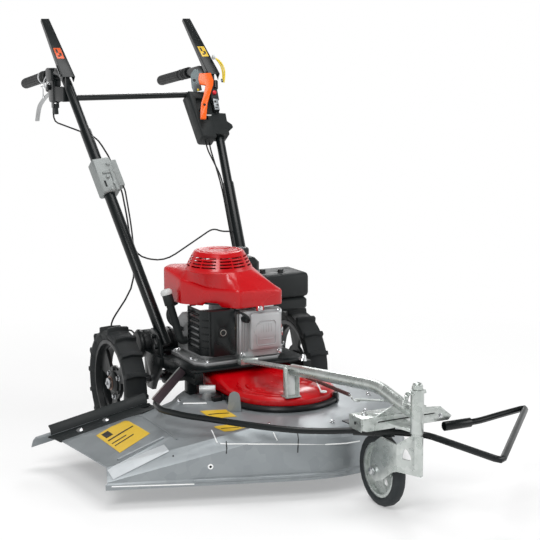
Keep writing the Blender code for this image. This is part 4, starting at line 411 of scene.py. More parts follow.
# %% Blocks and turned pieces
def turn_to(direction):
    """The turn that points a piece's own Z axis along a direction."""
    return Vector(direction).to_track_quat("Z", "Y").to_euler()


def block(place, size, radius, turn=(0, 0, 0)):
    """A box with rounded edges."""
    bpy.ops.object.select_all(action="DESELECT")
    bpy.ops.mesh.primitive_cube_add(size=1, location=place, rotation=turn)
    piece = bpy.context.object
    piece.scale = size
    bpy.ops.object.transform_apply(location=False, rotation=False, scale=True)
    edit_all()
    bpy.ops.mesh.bevel(offset=radius, segments=2, affect="EDGES")
    bpy.ops.object.mode_set(mode="OBJECT")
    return piece


def turned(profile, place, direction, steps=24):
    """Spins a line of (radius, height) pairs round an axis."""
    mesh = bpy.data.meshes.new("turned")
    mesh.from_pydata([(radius, 0, height) for radius, height in profile],
                     [(step, step + 1) for step in range(len(profile) - 1)], [])
    piece = new_piece("turned", mesh)
    edit_all()
    bpy.ops.mesh.spin(steps=steps, angle=2 * math.pi, center=(0, 0, 0), axis=(0, 0, 1))
    bpy.ops.mesh.select_all(action="SELECT")
    bpy.ops.mesh.remove_doubles(threshold=.00001)
    bpy.ops.mesh.normals_make_consistent(inside=False)
    bpy.ops.object.mode_set(mode="OBJECT")
    piece.location = place
    piece.rotation_euler = turn_to(direction)
    return piece


def disc(radius, height):
    """The profile of a flat disc, to be turned."""
    return (0, 0), (radius, 0), (radius, height), (0, height)


def washer(inner, outer, height):
    """The profile of a flat ring, to be turned."""
    return (inner, 0), (outer, 0), (outer, height), (inner, height), (inner, 0)


# %% [markdown]
# **Rods.** A rod is drawn as a curve with a round section, and then becomes a mesh. A wire is bent
# over an edge, so its corners stay sharp, and a hose curves softly. A spring is one wire wound
# round an axis, and a ring is a wire whose ends meet.

# %% Rods, wires, hoses, springs and rings
STEPS_A_TURN = 8


def rod(points, radius, sides, steps=6, bent=False):
    """A round rod, wire or hose; bent keeps its corners sharp, as a bent rod has them."""
    curve = bpy.data.curves.new("line", "CURVE")
    curve.dimensions = "3D"
    curve.bevel_depth = radius
    curve.bevel_resolution = sides
    curve.use_fill_caps = True
    curve.resolution_u = steps
    spline = curve.splines.new("POLY" if bent else "NURBS")
    spline.points.add(len(points) - 1)
    for knot, place in zip(spline.points, points):
        knot.co = (*place, 1)
    spline.use_endpoint_u = True
    spline.order_u = 3
    new_piece("line", curve)
    bpy.ops.object.convert(target="MESH")
    return bpy.context.object


def wire(radius, *places, sides=2):
    """A rod bent sharply through places measured from the axle."""
    return rod([at(*place) for place in places], radius, sides, bent=True)


def hose(radius, *places, sides=3, steps=6):
    """A rod that curves softly past places measured from the axle."""
    return rod([at(*place) for place in places], radius, sides, steps)


def coil(start, end, radius, wire_radius, turns):
    """A wound spring between two places."""
    turn = turn_to(end - start).to_matrix()
    line = [start]
    for step in range(turns * STEPS_A_TURN + 1):
        angle = 2 * math.pi * step / STEPS_A_TURN
        side = turn @ Vector((math.cos(angle), math.sin(angle), 0)) * radius
        line.append(start.lerp(end, step / (turns * STEPS_A_TURN)) + side)
    return rod(line + [end], wire_radius, 1, bent=True)


def loop(place, direction, radius, wire_radius, steps=20):
    """A closed ring of wire round an axis."""
    turn = turn_to(direction).to_matrix()
    line = [place + turn @ Vector((math.cos(2 * math.pi * step / steps) * radius,
                                   math.sin(2 * math.pi * step / steps) * radius, 0))
            for step in range(steps + 1)]
    return rod(line, wire_radius, 2, bent=True)


# %% [markdown]
# **Sheets.** A flat part is cut to an outline and given its thickness, and its cut edges are
# broken a little. A bent one is made point by point, and a modifier gives it its wall.

# %% Plates and sheets
CUT_EDGE = .0004


def plate(outline, thickness, place, turn):
    """A flat sheet cut to an outline, lying in its own XY plane."""
    mesh = bpy.data.meshes.new("plate")
    mesh.from_pydata([(x, y, 0) for x, y in outline], [], [range(len(outline))])
    piece = new_piece("plate", mesh)
    edit_all()
    bpy.ops.mesh.extrude_region_move(TRANSFORM_OT_translate={"value": (0, 0, thickness)})
    bpy.ops.mesh.select_all(action="SELECT")
    bpy.ops.mesh.normals_make_consistent(inside=False)
    bpy.ops.mesh.bevel(offset=CUT_EDGE, segments=1, affect="EDGES")
    bpy.ops.object.mode_set(mode="OBJECT")
    piece.location = place
    piece.rotation_euler = turn
    return piece


def sheet(name, points, faces, thickness, offset):
    """A sheet made point by point, which then gets its thickness."""
    mesh = bpy.data.meshes.new(name)
    mesh.from_pydata(points, [], faces)
    piece = new_piece(name, mesh)
    thicken(piece, thickness, offset)
    return piece


def thicken(piece, thickness, offset):
    """Gives a surface a thickness, to one side of it or to both."""
    wall = piece.modifiers.new("thickness", "SOLIDIFY")
    wall.thickness = thickness
    wall.offset = offset


# %% [markdown]
# **Fitting.** Loose pieces of one finish are joined, smoothed and set to ride on a body. What lies
# on a surface needs the height and the slope of that surface, so a line is cast down on it.

# %% Joining, fitting and landing
SKY = 1.5


def joined(pieces):
    """Makes one piece of several."""
    for piece in pieces:
        only(piece)
        bpy.ops.object.transform_apply(location=True, rotation=True, scale=True)
    bpy.ops.object.select_all(action="DESELECT")
    for piece in pieces:
        piece.select_set(True)
    bpy.context.view_layer.objects.active = pieces[0]
    bpy.ops.object.join()
    return bpy.context.object


def fitted(pieces, name, finish, body="chassis", smooth=35):
    """Joins pieces, finishes them and lets them ride on a body."""
    piece = dress(joined(pieces), name, body, finish)
    only(piece)
    bpy.ops.object.shade_smooth_by_angle(angle=math.radians(smooth))
    print(f"{name} has {len(piece.data.polygons)} faces")
    return piece


def landing(node, x, y):
    """Where a line down from the sky first meets a finished solid, and which way its face looks."""
    bpy.context.view_layer.update()
    found, place, normal, _ = shell[node].ray_cast(at(x, y, SKY), Vector((0, 0, -1)))
    if not found:
        raise ValueError(f"nothing of {node} below {x}, {y}")
    return place, normal


# %% [markdown]
# **Bolts.** A flange bolt is a hexagon head with a chamfered top on a round flange. One is
# modelled 10 mm across the flats, and every other is a copy of it at its own size.

# %% The bolt
HEAD_ACROSS = .01
HEAD_HEIGHT = .0052
HEAD_CHAMFER = .0005
FLANGE_TOP = .001
bpy.ops.mesh.primitive_cylinder_add(vertices=6, radius=HEAD_ACROSS / math.sqrt(3), depth=HEAD_HEIGHT,
                                    location=(0, 0, FLANGE_TOP + HEAD_HEIGHT / 2))
bolt_head = bpy.context.object
edit_all()
bpy.ops.mesh.bevel(offset=HEAD_CHAMFER, segments=2, affect="EDGES")
bpy.ops.object.mode_set(mode="OBJECT")
FLANGE = ((0, -.0006), (.008, -.0006), (.008, .0006), (.007, .0014), (0, .0014))
master_bolt = joined([bolt_head, turned(FLANGE, (0, 0, 0), (0, 0, 1), 16)])


def bolt(place, direction, size=1):
    """A copy of the bolt, turned to a direction and set at a place."""
    piece = new_piece("bolt", master_bolt.data.copy())
    turn = Vector(direction).to_track_quat("Z", "Y")
    piece.data.transform(Matrix.LocRotScale(Vector(place), turn, (size,) * 3))
    return piece


print("a bolt has", len(master_bolt.data.polygons), "faces")

# %% [markdown]
# **The deck.** Its sheet is pressed and welded, then bolted together. The photograph shows
# yellow stickers on it, a stiffening rib and a rolled hem along the front, carriage bolts where
# the deflector is fixed, and a grey tab that guards the bush. A sticker is a thin sheet that
# follows the metal, so each corner of its grid is dropped on the deck and the sheet then gets
# the thickness of vinyl.

# %% Stickers
vinyl_yellow = even_finish("printed_yellow_vinyl", "#E2BE3C", "#D6AE2C", 30, (.3, .4), 2, .01)
ink_black = even_finish("printed_black_ink", "#23211C", "#1B1A17", 20, (.35, .45), 1, .01)
VINYL = .0005


def blend(corners, across, along):
    """The place at two shares of the way across and along a four-sided area."""
    first, second, third, fourth = (Vector(corner) for corner in corners)
    return first.lerp(second, across).lerp(fourth.lerp(third, across), along)


def sticker(corners, cuts=12, lift=.0004):
    """A thin sheet between four corners, dropped on the deck below it."""
    bpy.ops.object.select_all(action="DESELECT")
    bpy.ops.mesh.primitive_grid_add(x_subdivisions=cuts, y_subdivisions=cuts, size=1)
    piece = bpy.context.object
    for vertex in piece.data.vertices:
        spot = blend([(*corner, 0) for corner in corners], vertex.co.x + .5, vertex.co.y + .5)
        place, normal = landing("mower_deck", spot.x, spot.y)
        vertex.co = place + normal * lift
    thicken(piece, VINYL, 1)
    return piece


CHUTE_LABEL = ((-.48, -.502), (-.379, -.46), (-.384, -.291), (-.481, -.327))
TOP_LABELS = (((-.225, -.513), (-.162, -.535), (-.159, -.459), (-.224, -.435)),
              ((-.24, -.621), (-.187, -.64), (-.189, -.586), (-.244, -.567)))
fitted([sticker(label) for label in (CHUTE_LABEL, *TOP_LABELS)], "plain_yellow_labels", vinyl_yellow)
INK = ((CHUTE_LABEL, .08, .56, .92, .6), (CHUTE_LABEL, .08, .4, .55, .43),
       (CHUTE_LABEL, .08, .28, .7, .31), (CHUTE_LABEL, .12, .7, .34, .92),
       (TOP_LABELS[0], .1, .45, .9, .52), (TOP_LABELS[1], .1, .45, .9, .52))
inked = []
for label, left, low, right, high in INK:
    bar = [blend(label, *share) for share in ((left, low), (right, low), (right, high), (left, high))]
    inked.append(sticker(bar, 6, .001))
fitted(inked, "printed_label_lines", ink_black)

# %% [markdown]
# A strip of sheet is welded on where a panel needs to be stiffer or two panels meet. Each strip
# here follows the metal in the same way, but is thicker, and its ends are round rod heads.

# %% Weld seams, ribs and deck bolts
SEAM_STEPS = 14


def seam(start, end, radius):
    """A welded rib that lies on the deck between two places."""
    line = []
    for step in range(SEAM_STEPS + 1):
        x = start[0] + (end[0] - start[0]) * step / SEAM_STEPS
        y = start[1] + (end[1] - start[1]) * step / SEAM_STEPS
        place, normal = landing("mower_deck", x, y)
        line.append(place + normal * radius * .2)
    return rod(line, radius, 2, 3)


ribs = [seam((-.5, -.54), (-.366, -.52), .0035), seam((-.345, -.3), (-.345, -.56), .0025)]
fitted(ribs, "deck_ribs", deck_metal)

deck_bolts = []
for x, y in ((.262, -.33), (.262, -.5), (.04, -.69), (-.12, -.64), (.17, -.64), (-.23, -.3)):
    place, normal = landing("mower_deck", x, y)
    deck_bolts.append(bolt(place + normal * .0008, normal, .95))
fitted(deck_bolts, "deck_bolts", bright_plate)

TAB_FOOT = (-.146, -.486)
TAB_RADIUS = .015
TAB_STRAIGHT = .04
place, normal = landing("mower_deck", *TAB_FOOT)
arch = []
for step in range(11):
    angle = math.pi * step / 10
    arch.append((TAB_RADIUS * math.cos(angle), TAB_STRAIGHT + TAB_RADIUS * math.sin(angle)))
outline = [(.019, 0)] + arch + [(-.019, 0)]
guard_tab = plate(outline, .0025, place + Vector((0, 0, .0002)), (math.radians(90), 0, math.radians(-28)))
fitted([guard_tab], "bush_guard_tab", deck_metal)

# %% [markdown]
# The wall in front is one strip, folded over at the top and hemmed at the foot. Thin near-white
# wires that lie on the sheet along the folds, and a ring round a hole, are painted highlights. Dark
# wires in two creases and dark discs in two holes are painted shade. The chute's lower edge is
# closed by a flange, and a paler sheet laid on it is a painted highlight.

# %% Folds, hem and flange of the deck's front
# Painted highlight: a near-white finish that stands in for the light caught by folds, edges and thin rods.
highlight_white = even_finish("painted_highlight_white", "#FFFFFF", "#F6F8F6", 30, (.4, .48), 2, .02, .1)
flange_highlight_sheet = spangled("painted_highlight_galvanised_sheet", "#D3D7D9", "#C2C7CA", 26, (.36, .46), .3)
FOLDS = (((-.2679, -.6575, .1521), (-.2515, -.6683, .1513), (-.2346, -.6777, .1521), (-.2174, -.688, .1522),
          (-.2004, -.6967, .1518), (-.1814, -.703, .1506), (-.1625, -.7092, .1499), (-.1416, -.7161, .1485),
          (-.0869, -.7342, .1454), (-.0068, -.7526, .1385), (.0394, -.7612, .137), (.0834, -.7562, .1355)),
         ((-.2571, -.5809, .1662), (-.266, -.6134, .165), (-.2744, -.6424, .1622), (-.2743, -.6527, .1532)),
         ((-.1394, -.7023, .1746), (-.139, -.7119, .1656), (-.1365, -.718, .1577)),
         ((-.5367, -.5894, .06), (-.44, -.6225, .058), (-.3403, -.656, .056)))
HEM = ((-.3403, -.6554, .0635), (-.2699, -.6792, .0632), (-.2073, -.7003, .0633), (-.1443, -.7214, .0636),
       (-.0812, -.7425, .063), (-.0061, -.7582, .0619), (.0394, -.7608, .06))
CREASES = (((-.2529, -.6612, .157), (-.2585, -.6762, .143), (-.2607, -.6772, .13)),
           ((-.0813, -.724, .1697), (-.085, -.7346, .1585), (-.0869, -.7348, .1235)))
CHUTE_FLANGE = ((-.53, -.585), (-.387, -.606), (-.381, -.56), (-.536, -.561))
EYE = at(-.2986, -.6643, .0977)
EYE_WAY = (-.313, -.95, 0)
ring = turned(((.0035, 0), (.0072, 0), (.0068, .0012), (.0035, .0012), (.0035, 0)), EYE, EYE_WAY, 20)
fitted([wire(.0016, *line) for line in FOLDS] + [ring], "deck_fold_highlights", highlight_white)
fitted([wire(.0048, *HEM, sides=3)], "deck_hem", deck_metal)
# A paler copy of the deck's zinc, laid on the flange, is a painted highlight.
fitted([sticker(CHUTE_FLANGE, 12, .0008)], "chute_flange_highlight", flange_highlight_sheet)
# Painted shade: dark discs in two holes and dark wires along two creases.
hole_shades = [turned(disc(.0034, .0008), EYE, EYE_WAY, 16),
         turned(disc(.0022, .0008), at(-.3813, -.6191, .1254), (-.371, -.612, .698), 16)]
crease_shades = [wire(.0014, *line, sides=1) for line in CREASES]
fitted(crease_shades + hole_shades, "deck_crease_and_hole_shade", gear_black)

# %% [markdown]
# **The engine.** The exhaust guard on its right side is a ribbed black pressing, the cylinder
# head beside it is cast with thin cooling fins, and the rocker cover in front is die cast with a
# raised panel. Bolts hold the covers, a rubber lead runs from the plug's cap, and a black
# breather hose curves from the crankcase to the oil filler.

# %% Exhaust guard and cylinder head
louvres = [block(at(-.1345, -.194, .2925 + .017 * row), (.0052, .074, .0042), .0012) for row in range(7)]
louvres += [block(at(-.124, -.249, .3005 + .02 * row), (.003, .022, .003), .001,
                  (0, 0, math.radians(38))) for row in range(5)]
louvres.append(wire(.0035, (-.1135, -.261, .28), (-.1135, -.261, .406), sides=3))
fitted(louvres, "exhaust_guard_louvres", powder_black)
EXHAUST = at(-.077, -.2702, .345)
RING = ((.0112, 0), (.015, 0), (.015, .0014), (.014, .0022), (.0112, .0022), (.0112, 0))
fitted([turned(RING, EXHAUST, (0, -1, 0), 32)], "exhaust_ring", gear_black)
# A dark disc closes the pipe's mouth: painted shade inside the pipe.
fitted([turned(disc(.0113, .0006), EXHAUST, (0, -1, 0), 28)], "exhaust_mouth_shade", seal_rubber)

fins = [block(at(-.031 + .0048 * count, -.252, .335), (.0022, .036, .116), .0008) for count in range(3)]
fins += [block(at(-.0215 + .0052 * count, -.2735, .334), (.0018, .005, .104), .0006) for count in range(5)]
fins += [block(at(.099, -.23, .285 + .0105 * count), (.012, .052, .0022), .0007) for count in range(10)]
fitted(fins, "cylinder_head_fins", cast_metal)

# %% [markdown]
# The rocker cover's rim carries four bolts, and its raised panel has a soft rectangular
# border. Upright ribs are modelled on the panel, so that it isn't flat.

# %% Rocker cover
BORDER = ((-.026, -.034), (.026, -.034), (.03, -.028), (.03, .03), (.024, .036), (-.022, .036),
          (-.03, .026), (-.03, -.028), (-.026, -.034))
panel = [wire(.0014, *[(.051 + x, -.2868, .3345 + z) for x, z in BORDER])]
panel += [block(at(.035 + .008 * count, -.2868, .35), (.0028, .003, .025), .0008) for count in range(5)]
panel.append(block(at(.051, -.2868, .318), (.044, .0024, .003), .0008))
fitted(panel, "rocker_cover_relief", rocker_silver)
head_bolts = [bolt(at(x, -.2722, z), (0, -1, 0), .95)
              for x, z in ((-.016, .39), (-.017, .276), (.099, .275), (.1, .392))]
head_bolts.append(bolt(at(.035, -.2806, .406), (0, -1, 0), 1.0))
head_bolts += [bolt(at(x, y, .2595), (0, 0, 1), 1.1)
               for x, y in ((-.141, -.19), (-.118, -.252), (.1, -.254), (-.134, -.07))]
fitted(head_bolts, "engine_bolts", bright_plate)

# %% [markdown]
# The lead leaves the plug's cap in a tight curve and goes round the head to the coil under the
# shroud. The breather hose and the fuel hose are the same kind of rubber.

# %% Lead and hoses
lead = hose(.0036, (-.0135, -.3035, .38), (-.0135, -.312, .381), (-.02, -.313, .393),
            (-.031, -.296, .402), (-.033, -.27, .404), (-.033, -.24, .404))
breather = hose(.0062, (-.129, -.105, .33), (-.142, -.096, .335), (-.16, -.082, .35),
                (-.164, -.076, .375), (-.145, -.062, .396), (-.126, -.056, .4))
fuel_hose = hose(.0032, (.125, .012, .415), (.125, -.02, .4), (.12, -.05, .34),
                 (.116, -.07, .318), (.113, -.09, .315))
fitted([lead, breather, fuel_hose], "engine_hoses", seal_rubber)

# %% [markdown]
# The shroud is one moulding: a skirt whose plan is a rounded polygon, a top that slopes up to
# the round dome over the fan, and a dome cut into rings by its air slots. It is modelled as a
# loft. For each angle round the crank a column of points climbs from the skirt's lower edge to
# the middle of the dome, neighbouring columns are bridged by faces, and the faces of the air
# slots are left out. Corners get their radius because the distance to the outline is averaged
# over a few degrees.

# %% The shroud's skirt
CRANK = Vector((-.028, -.14))
SKIRT = (((-.148, -.138), .484), ((-.156, -.028), .504), ((-.12, .006), .506), ((.062, .006), .494),
         ((.112, -.045), .472), ((.122, -.18), .46), ((.11, -.276), .454), ((-.034, -.284), .464),
         ((-.1, -.2), .464))
SKIRT_FOOT = .412
SKIRT_ROLL = .007
ARCH_MIDDLE = 232
ARCH_HALF_WIDTH = 17
ARCH_HEIGHT = .01
CORNER_SPREAD = math.radians(3)


def skirt_at(turn):
    """Distance from the crank to the skirt at an angle, and the height of its upper edge."""
    way = Vector((math.cos(turn), math.sin(turn)))
    for (first, low), (second, high) in zip(SKIRT, SKIRT[1:] + SKIRT[:1]):
        begin = Vector(first) - CRANK
        side = Vector(second) - Vector(first)
        across = way.cross(side)
        if abs(across) < 1e-9:
            continue
        reach = begin.cross(side) / across
        part = begin.cross(way) / across
        if reach > 0 and 0 <= part <= 1:
            return reach, low + (high - low) * part
    return .14, .48


def rounded_skirt(turn):
    """The same, averaged over a few degrees, which rounds the corners."""
    found = [skirt_at(turn + CORNER_SPREAD * step / 4) for step in range(-4, 5)]
    return sum(reach for reach, _ in found) / 9, sum(top for _, top in found) / 9


def skirt_foot(turn):
    """The lower edge rises in an arch over the exhaust guard."""
    away = abs((math.degrees(turn) - ARCH_MIDDLE + 180) % 360 - 180)
    return SKIRT_FOOT + ARCH_HEIGHT * max(0, min(1, (ARCH_HALF_WIDTH - away) / 5))


print("the skirt is", round(rounded_skirt(0)[0], 4), "m from the crank on the left side")

# %% [markdown]
# A column starts at the skirt's foot, climbs its wall and rolls over its edge. It then slopes to
# the dome, passes two points for each air slot, and ends in the low rings of the dome's top.

# %% One column of the shroud
DOME_RADIUS = .099
DOME_FOOT = .506
SLOTS = 4
SLOT_LOW = .5185
SLOT_PITCH = .0083
SLOT_HEIGHT = .004


def column(turn):
    """The points of one column, from the skirt's foot to the middle of the dome."""
    reach, top = rounded_skirt(turn)
    line = [(reach - .001, skirt_foot(turn)), (reach, skirt_foot(turn) + .003), (reach, top - .01),
            (reach - .0008, top - .004), (reach - .003, top - .001), (reach - SKIRT_ROLL, top)]
    run = reach - SKIRT_ROLL - DOME_RADIUS
    line += [(DOME_RADIUS + run * .5, top + (DOME_FOOT - top) * .52), (.1, DOME_FOOT), (.0975, .5075),
             (.0965, .512), (.0945, .516)]
    for slot in range(SLOTS):
        z = SLOT_LOW + SLOT_PITCH * slot
        for height in (z, z + SLOT_HEIGHT):
            line.append((.0945 - (height - .516) * .52, height))
    line += [(.0735, .5545), (.0722, .5572), (.069, .5596), (.065, .5604), (.0622, .5596),
             (.06, .5584), (.056, .5586), (.0535, .5606), (.03, .5616), (.028, .56),
             (.012, .56)]
    return line


print("a column has", len(column(0)), "points")

# %% [markdown]
# The columns are bridged all round, and the middle of the dome is closed by one face. Every
# 24 columns a rib of three crosses the slots, with a thin one halfway.

# %% The fan shroud
COLUMNS = 144
SLOT_ROWS = [11 + 2 * slot for slot in range(SLOTS)]
points, faces = [], []
for step in range(COLUMNS):
    turn = 2 * math.pi * step / COLUMNS
    for reach, height in column(turn):
        points.append(at(CRANK.x + reach * math.cos(turn), CRANK.y + reach * math.sin(turn), height))
rows = len(points) // COLUMNS
for step in range(COLUMNS):
    here, after = step * rows, (step + 1) % COLUMNS * rows
    rib_here = step % 24 < 3 or step % 24 == 12
    for row in range(rows - 1):
        if row in SLOT_ROWS and not rib_here:
            continue
        faces.append((here + row, after + row, after + row + 1, here + row + 1))
faces.append([step * rows + rows - 1 for step in range(COLUMNS)])
shroud = fitted([sheet("shroud", points, faces, .0025, -1)], "fan_shroud", red_abs, smooth=32)
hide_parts("fan_cover")

tabs = [block(at(.035, -.2786, .411), (.024, .0035, .023), .0012),
        block(at(-.05, .003, .395), (.02, .003, .046), .0008)]
fitted(tabs, "shroud_tabs", red_abs)

# %% [markdown]
# **Belt cover, springs and rubber strip.** The cover over the blade belt is moulded with low
# rings and a round boss. A post stands on it and carries the front arm, and a long tension
# spring runs under the arm to a hook. A flat bar lies on the rear end of the guard tube, and two
# big carriage bolts clamp the rubber strip of the chute.

# %% Relief of the belt cover
COVER_MIDDLE = (.03, -.42)
COVER_TOP = .216
BOSS = ((0, -.001), (.025, -.001), (.0245, .002), (.022, .0042), (.017, .005), (.015, .004),
        (0, .004))
cover_relief = []
for radius, first, last in ((.122, 148, 262), (.098, 158, 270)):
    line = []
    for step in range(25):
        angle = math.radians(first + (last - first) * step / 24)
        line.append((COVER_MIDDLE[0] + radius * math.cos(angle), COVER_MIDDLE[1] + radius * math.sin(angle),
                     COVER_TOP + .0008))
    cover_relief.append(hose(.0034, *line, sides=2, steps=2))
cover_relief.append(turned(BOSS, at(.101, -.419, COVER_TOP), (0, 0, 1), 32))
fitted(cover_relief, "belt_cover_relief", red_abs)
bead = loop(at(*COVER_MIDDLE, .1865), (0, 0, 1), .1515, .0075, 64)
fitted([bead], "cover_ring_bead", black_abs)

# %% [markdown]
# The post is bent from a strip. The bright face of its web is a painted highlight: a thin
# near-white plate on the web, with the rod beside it drawn in the same white. The flat bar's
# bright edge is a painted highlight too.

# %% Post, springs and flat bar
worn_spring = even_finish("oiled_spring_wire", "#6B4A45", "#54393A", 12, (.35, .5), 1, .03, .7)
bar_grey = even_finish("painted_strut", "#3C3136", "#2C2428", 30, (.3, .42), 2, .04, mirror=.4)
# Painted highlight: a thin near-white plate on the post's web; the rod and its ring share the white.
bright = [block(at(-.007, -.5416, .257), (.03, .001, .078), .0003),
          wire(.0021, (.118, -.428, .23), (.118, -.456, .225), (.083, -.548, .222)),
          loop(at(.087, -.556, .2205), (0, 0, 1), .0075, .0021)]
fitted(bright, "post_face_highlight_and_rod", highlight_white)
spring = coil(at(.107, -.395, .229), at(.116, -.645, .229), .0042, .0011, 46)
fitted([spring], "tension_spring", worn_spring)
hook = hose(.0018, (.116, -.645, .229), (.113, -.66, .23), (.1, -.685, .23),
            (.103, -.7, .226), (.118, -.701, .224), (.128, -.69, .227), sides=2, steps=4)
pull_rod = wire(.0032, (.105, -.694, .229), (.166, -.739, .229), (.176, -.8, .234),
                (.16, -.927, .24))
fitted([hook, pull_rod], "hook_and_pull_rod", zinc)

BAR_HIGH, BAR_LOW = at(-.193, -.23, .233), at(-.347, -.405, .203)
BAR_LENGTH = (BAR_LOW - BAR_HIGH).length
BAR_WIDTH = .025
BAR_THICKNESS = .004
along = (BAR_LOW - BAR_HIGH).normalized()
side_way = along.cross(Vector((.4, -.485, .776))).normalized()
face_way = side_way.cross(along)
bar_turn = Matrix((face_way, side_way, along)).transposed().to_euler()
bar_middle = (BAR_HIGH + BAR_LOW) / 2 + face_way * .012
bar = block(bar_middle, (BAR_THICKNESS, BAR_WIDTH, BAR_LENGTH), .0012, bar_turn)
fitted([bar], "deck_strut", bar_grey)
# Painted highlight: a zinc rod along the painted bar's edge stands for the light on that edge.
edge = face_way * .0132 + side_way * .0118
strut_edge_highlight = rod([BAR_HIGH + edge, BAR_LOW + edge], .0019, 2, bent=True)
fitted([strut_edge_highlight], "deck_strut_edge_highlight", zinc)

BOLT_DOME = ((0, 0), (.0105, 0), (.01, .0022), (.007, .0042), (.0035, .0052), (0, .0055))
SLOT_RIM = ((.015, 0), (.015, .0012), (.012, .0012), (.01, .0004), (0, .0004))
seal_bolts = []
for x, y in ((-.498, -.245), (-.42, -.238)):
    place, normal = landing("chute_seal", x, y)
    seal_bolts.append(turned(BOLT_DOME, place + normal * .0002, normal, 20))
fitted(seal_bolts, "carriage_bolts", bright_plate)
# The slot is drawn as a black disc with a raised rim, darker than the rubber: painted shade inside the slot.
seal_slot_shade = turned(SLOT_RIM, *landing("chute_seal", -.3003, -.2301), 24)
fitted([seal_slot_shade], "seal_slot_shade", powder_black)

# %% [markdown]
# Behind the bolts the rubber strip stands up and curls back, so that no grass flies to the
# wheel. Its section is the same four points all along, and it climbs with the strip.

# %% The curled flap of the chute's seal
FLAP_SECTION = ((-.215, .001), (-.212, .009), (-.205, .017), (-.193, .0215))
FLAP_STEPS = 12
ROW = len(FLAP_SECTION)
points = []
for step in range(FLAP_STEPS + 1):
    x = -.57 + .0235 * step
    foot = .155 + .2 * (x + .293)
    points += [at(x, y, foot + rise) for y, rise in FLAP_SECTION]
faces = [(here, here + ROW, here + ROW + 1, here + 1)
         for step in range(FLAP_STEPS) for here in range(step * ROW, step * ROW + ROW - 1)]
fitted([sheet("flap", points, faces, .004, 0)], "chute_seal_flap", seal_rubber, smooth=50)
# The pin is drawn in the near-white of the painted highlights.
fitted([wire(.0023, (-.234, -.3445, .1775), (-.1818, -.3836, .181))], "hinge_pin", highlight_white)
bush_parts = [block(at(-.1416, -.3624, .184), (.026, .018, .012), .002),
              block(at(-.118, -.36, .186), (.014, .014, .016), .002)]
fitted(bush_parts, "bush_bracket", gear_black)

# %% [markdown]
# ** The front bracket and the castor's head.** The bracket is a folded box: its end is closed by a
# facet with a hole, drawn as a dark disc of painted shade, and a gusset ties it to the arm. A dark
# strip along its face is the painted shadow under the edge of its top plate. The castor's
# spindle turns in a tube with a domed cap, and a short spring beside it pulls the wheel straight.

# %% Bracket, gusset and castor head
UPRIGHT = math.radians(90)
end_facet = plate([(-.8725, .2168), (-.9315, .2168), (-.9315, .25), (-.8725, .25)], .002,
                  at(-.0165, 0, 0), (UPRIGHT, 0, UPRIGHT))
gusset = plate([(.026, .249), (.068, .269), (.092, .2745), (.116, .273), (.15, .257), (.15, .25)],
               .0025, at(0, -.927, 0), (UPRIGHT, 0, 0))
fold = wire(.0016, (.024, -.9305, .25), (.069, -.9305, .2705))
side_gusset = plate([(-.874, .251), (-.93, .251), (-.93, .276)], .0025, at(.096, 0, 0),
                    (UPRIGHT, 0, UPRIGHT))
fitted([end_facet, gusset, fold, side_gusset], "bracket_gussets", zinc)
# Painted shadow and shade: a dark strip under the top plate's edge, and a dark disc in the facet's hole. The strap
# is a black part.
face_shadow_strip = block(at(.113, -.9262, .238), (.17, .001, .0075), .0002)
facet_hole_shade = turned(disc(.0042, .0006), at(-.0184, -.905, .235), (-1, 0, 0))
strap = block(at(.004, -.854, .2185), (.02, .064, .003), .0008, (0, 0, math.radians(5)))
fitted([face_shadow_strip, facet_hole_shade, strap], "bracket_shade_and_strap", powder_black)

CAP = ((0, 0), (.012, 0), (.012, .003), (.01, .006), (.006, .008), (0, .0088))
PIN = ((0, 0), (.0045, 0), (.0045, .004), (.0022, .005), (.0022, .009), (0, .0095))
HUB_CAP = ((0, 0), (.0085, 0), (.0085, .003), (.006, .0042), (0, .0046))
fitted([turned(CAP, at(.08, -1.03, .3452), (0, 0, 1), 24)], "castor_cap", zinc, "castor")
head_parts = [block(at(.0625, -1.03, .328), (.008, .02, .005), .001),
              block(at(.0985, -1.028, .328), (.008, .016, .005), .001),
              coil(at(.056, -1.024, .327), at(.053, -1.014, .294), .005, .0013, 7),
              hose(.0014, (.056, -1.024, .327), (.06, -1.03, .331), (.065, -1.03, .331),
                   sides=2, steps=3),
              hose(.0014, (.053, -1.014, .294), (.056, -1.01, .284), (.068, -1.008, .28),
                   sides=2, steps=3),
              turned(PIN, at(.0955, -1.03, .292), (1, 0, 0), 14)]
fitted(head_parts, "castor_head_parts", zinc)

bracket_bolts = [bolt(at(.135, -.933, .251), (0, -1, 0), .9),
                 bolt(at(.212, -.933, .23), (0, -1, 0), .8),
                 bolt(at(.01, -.9, .2508), (0, 0, 1)), bolt(at(.095, -.89, .2508), (0, 0, 1))]
fitted(bracket_bolts, "bracket_bolts", bright_plate)
hub_cap = turned(HUB_CAP, at(.047, -.873, .094), (-1, 0, 0), 20)
fitted([hub_cap], "castor_axle_cap", bright_plate, "castor")

# %% [markdown]
# **Drive wheels and gearbox.** Each wheel is bolted to its hub by three nuts, and a smaller one
# over a washer holds the hub on the axle. A tyre valve sits in the rim.

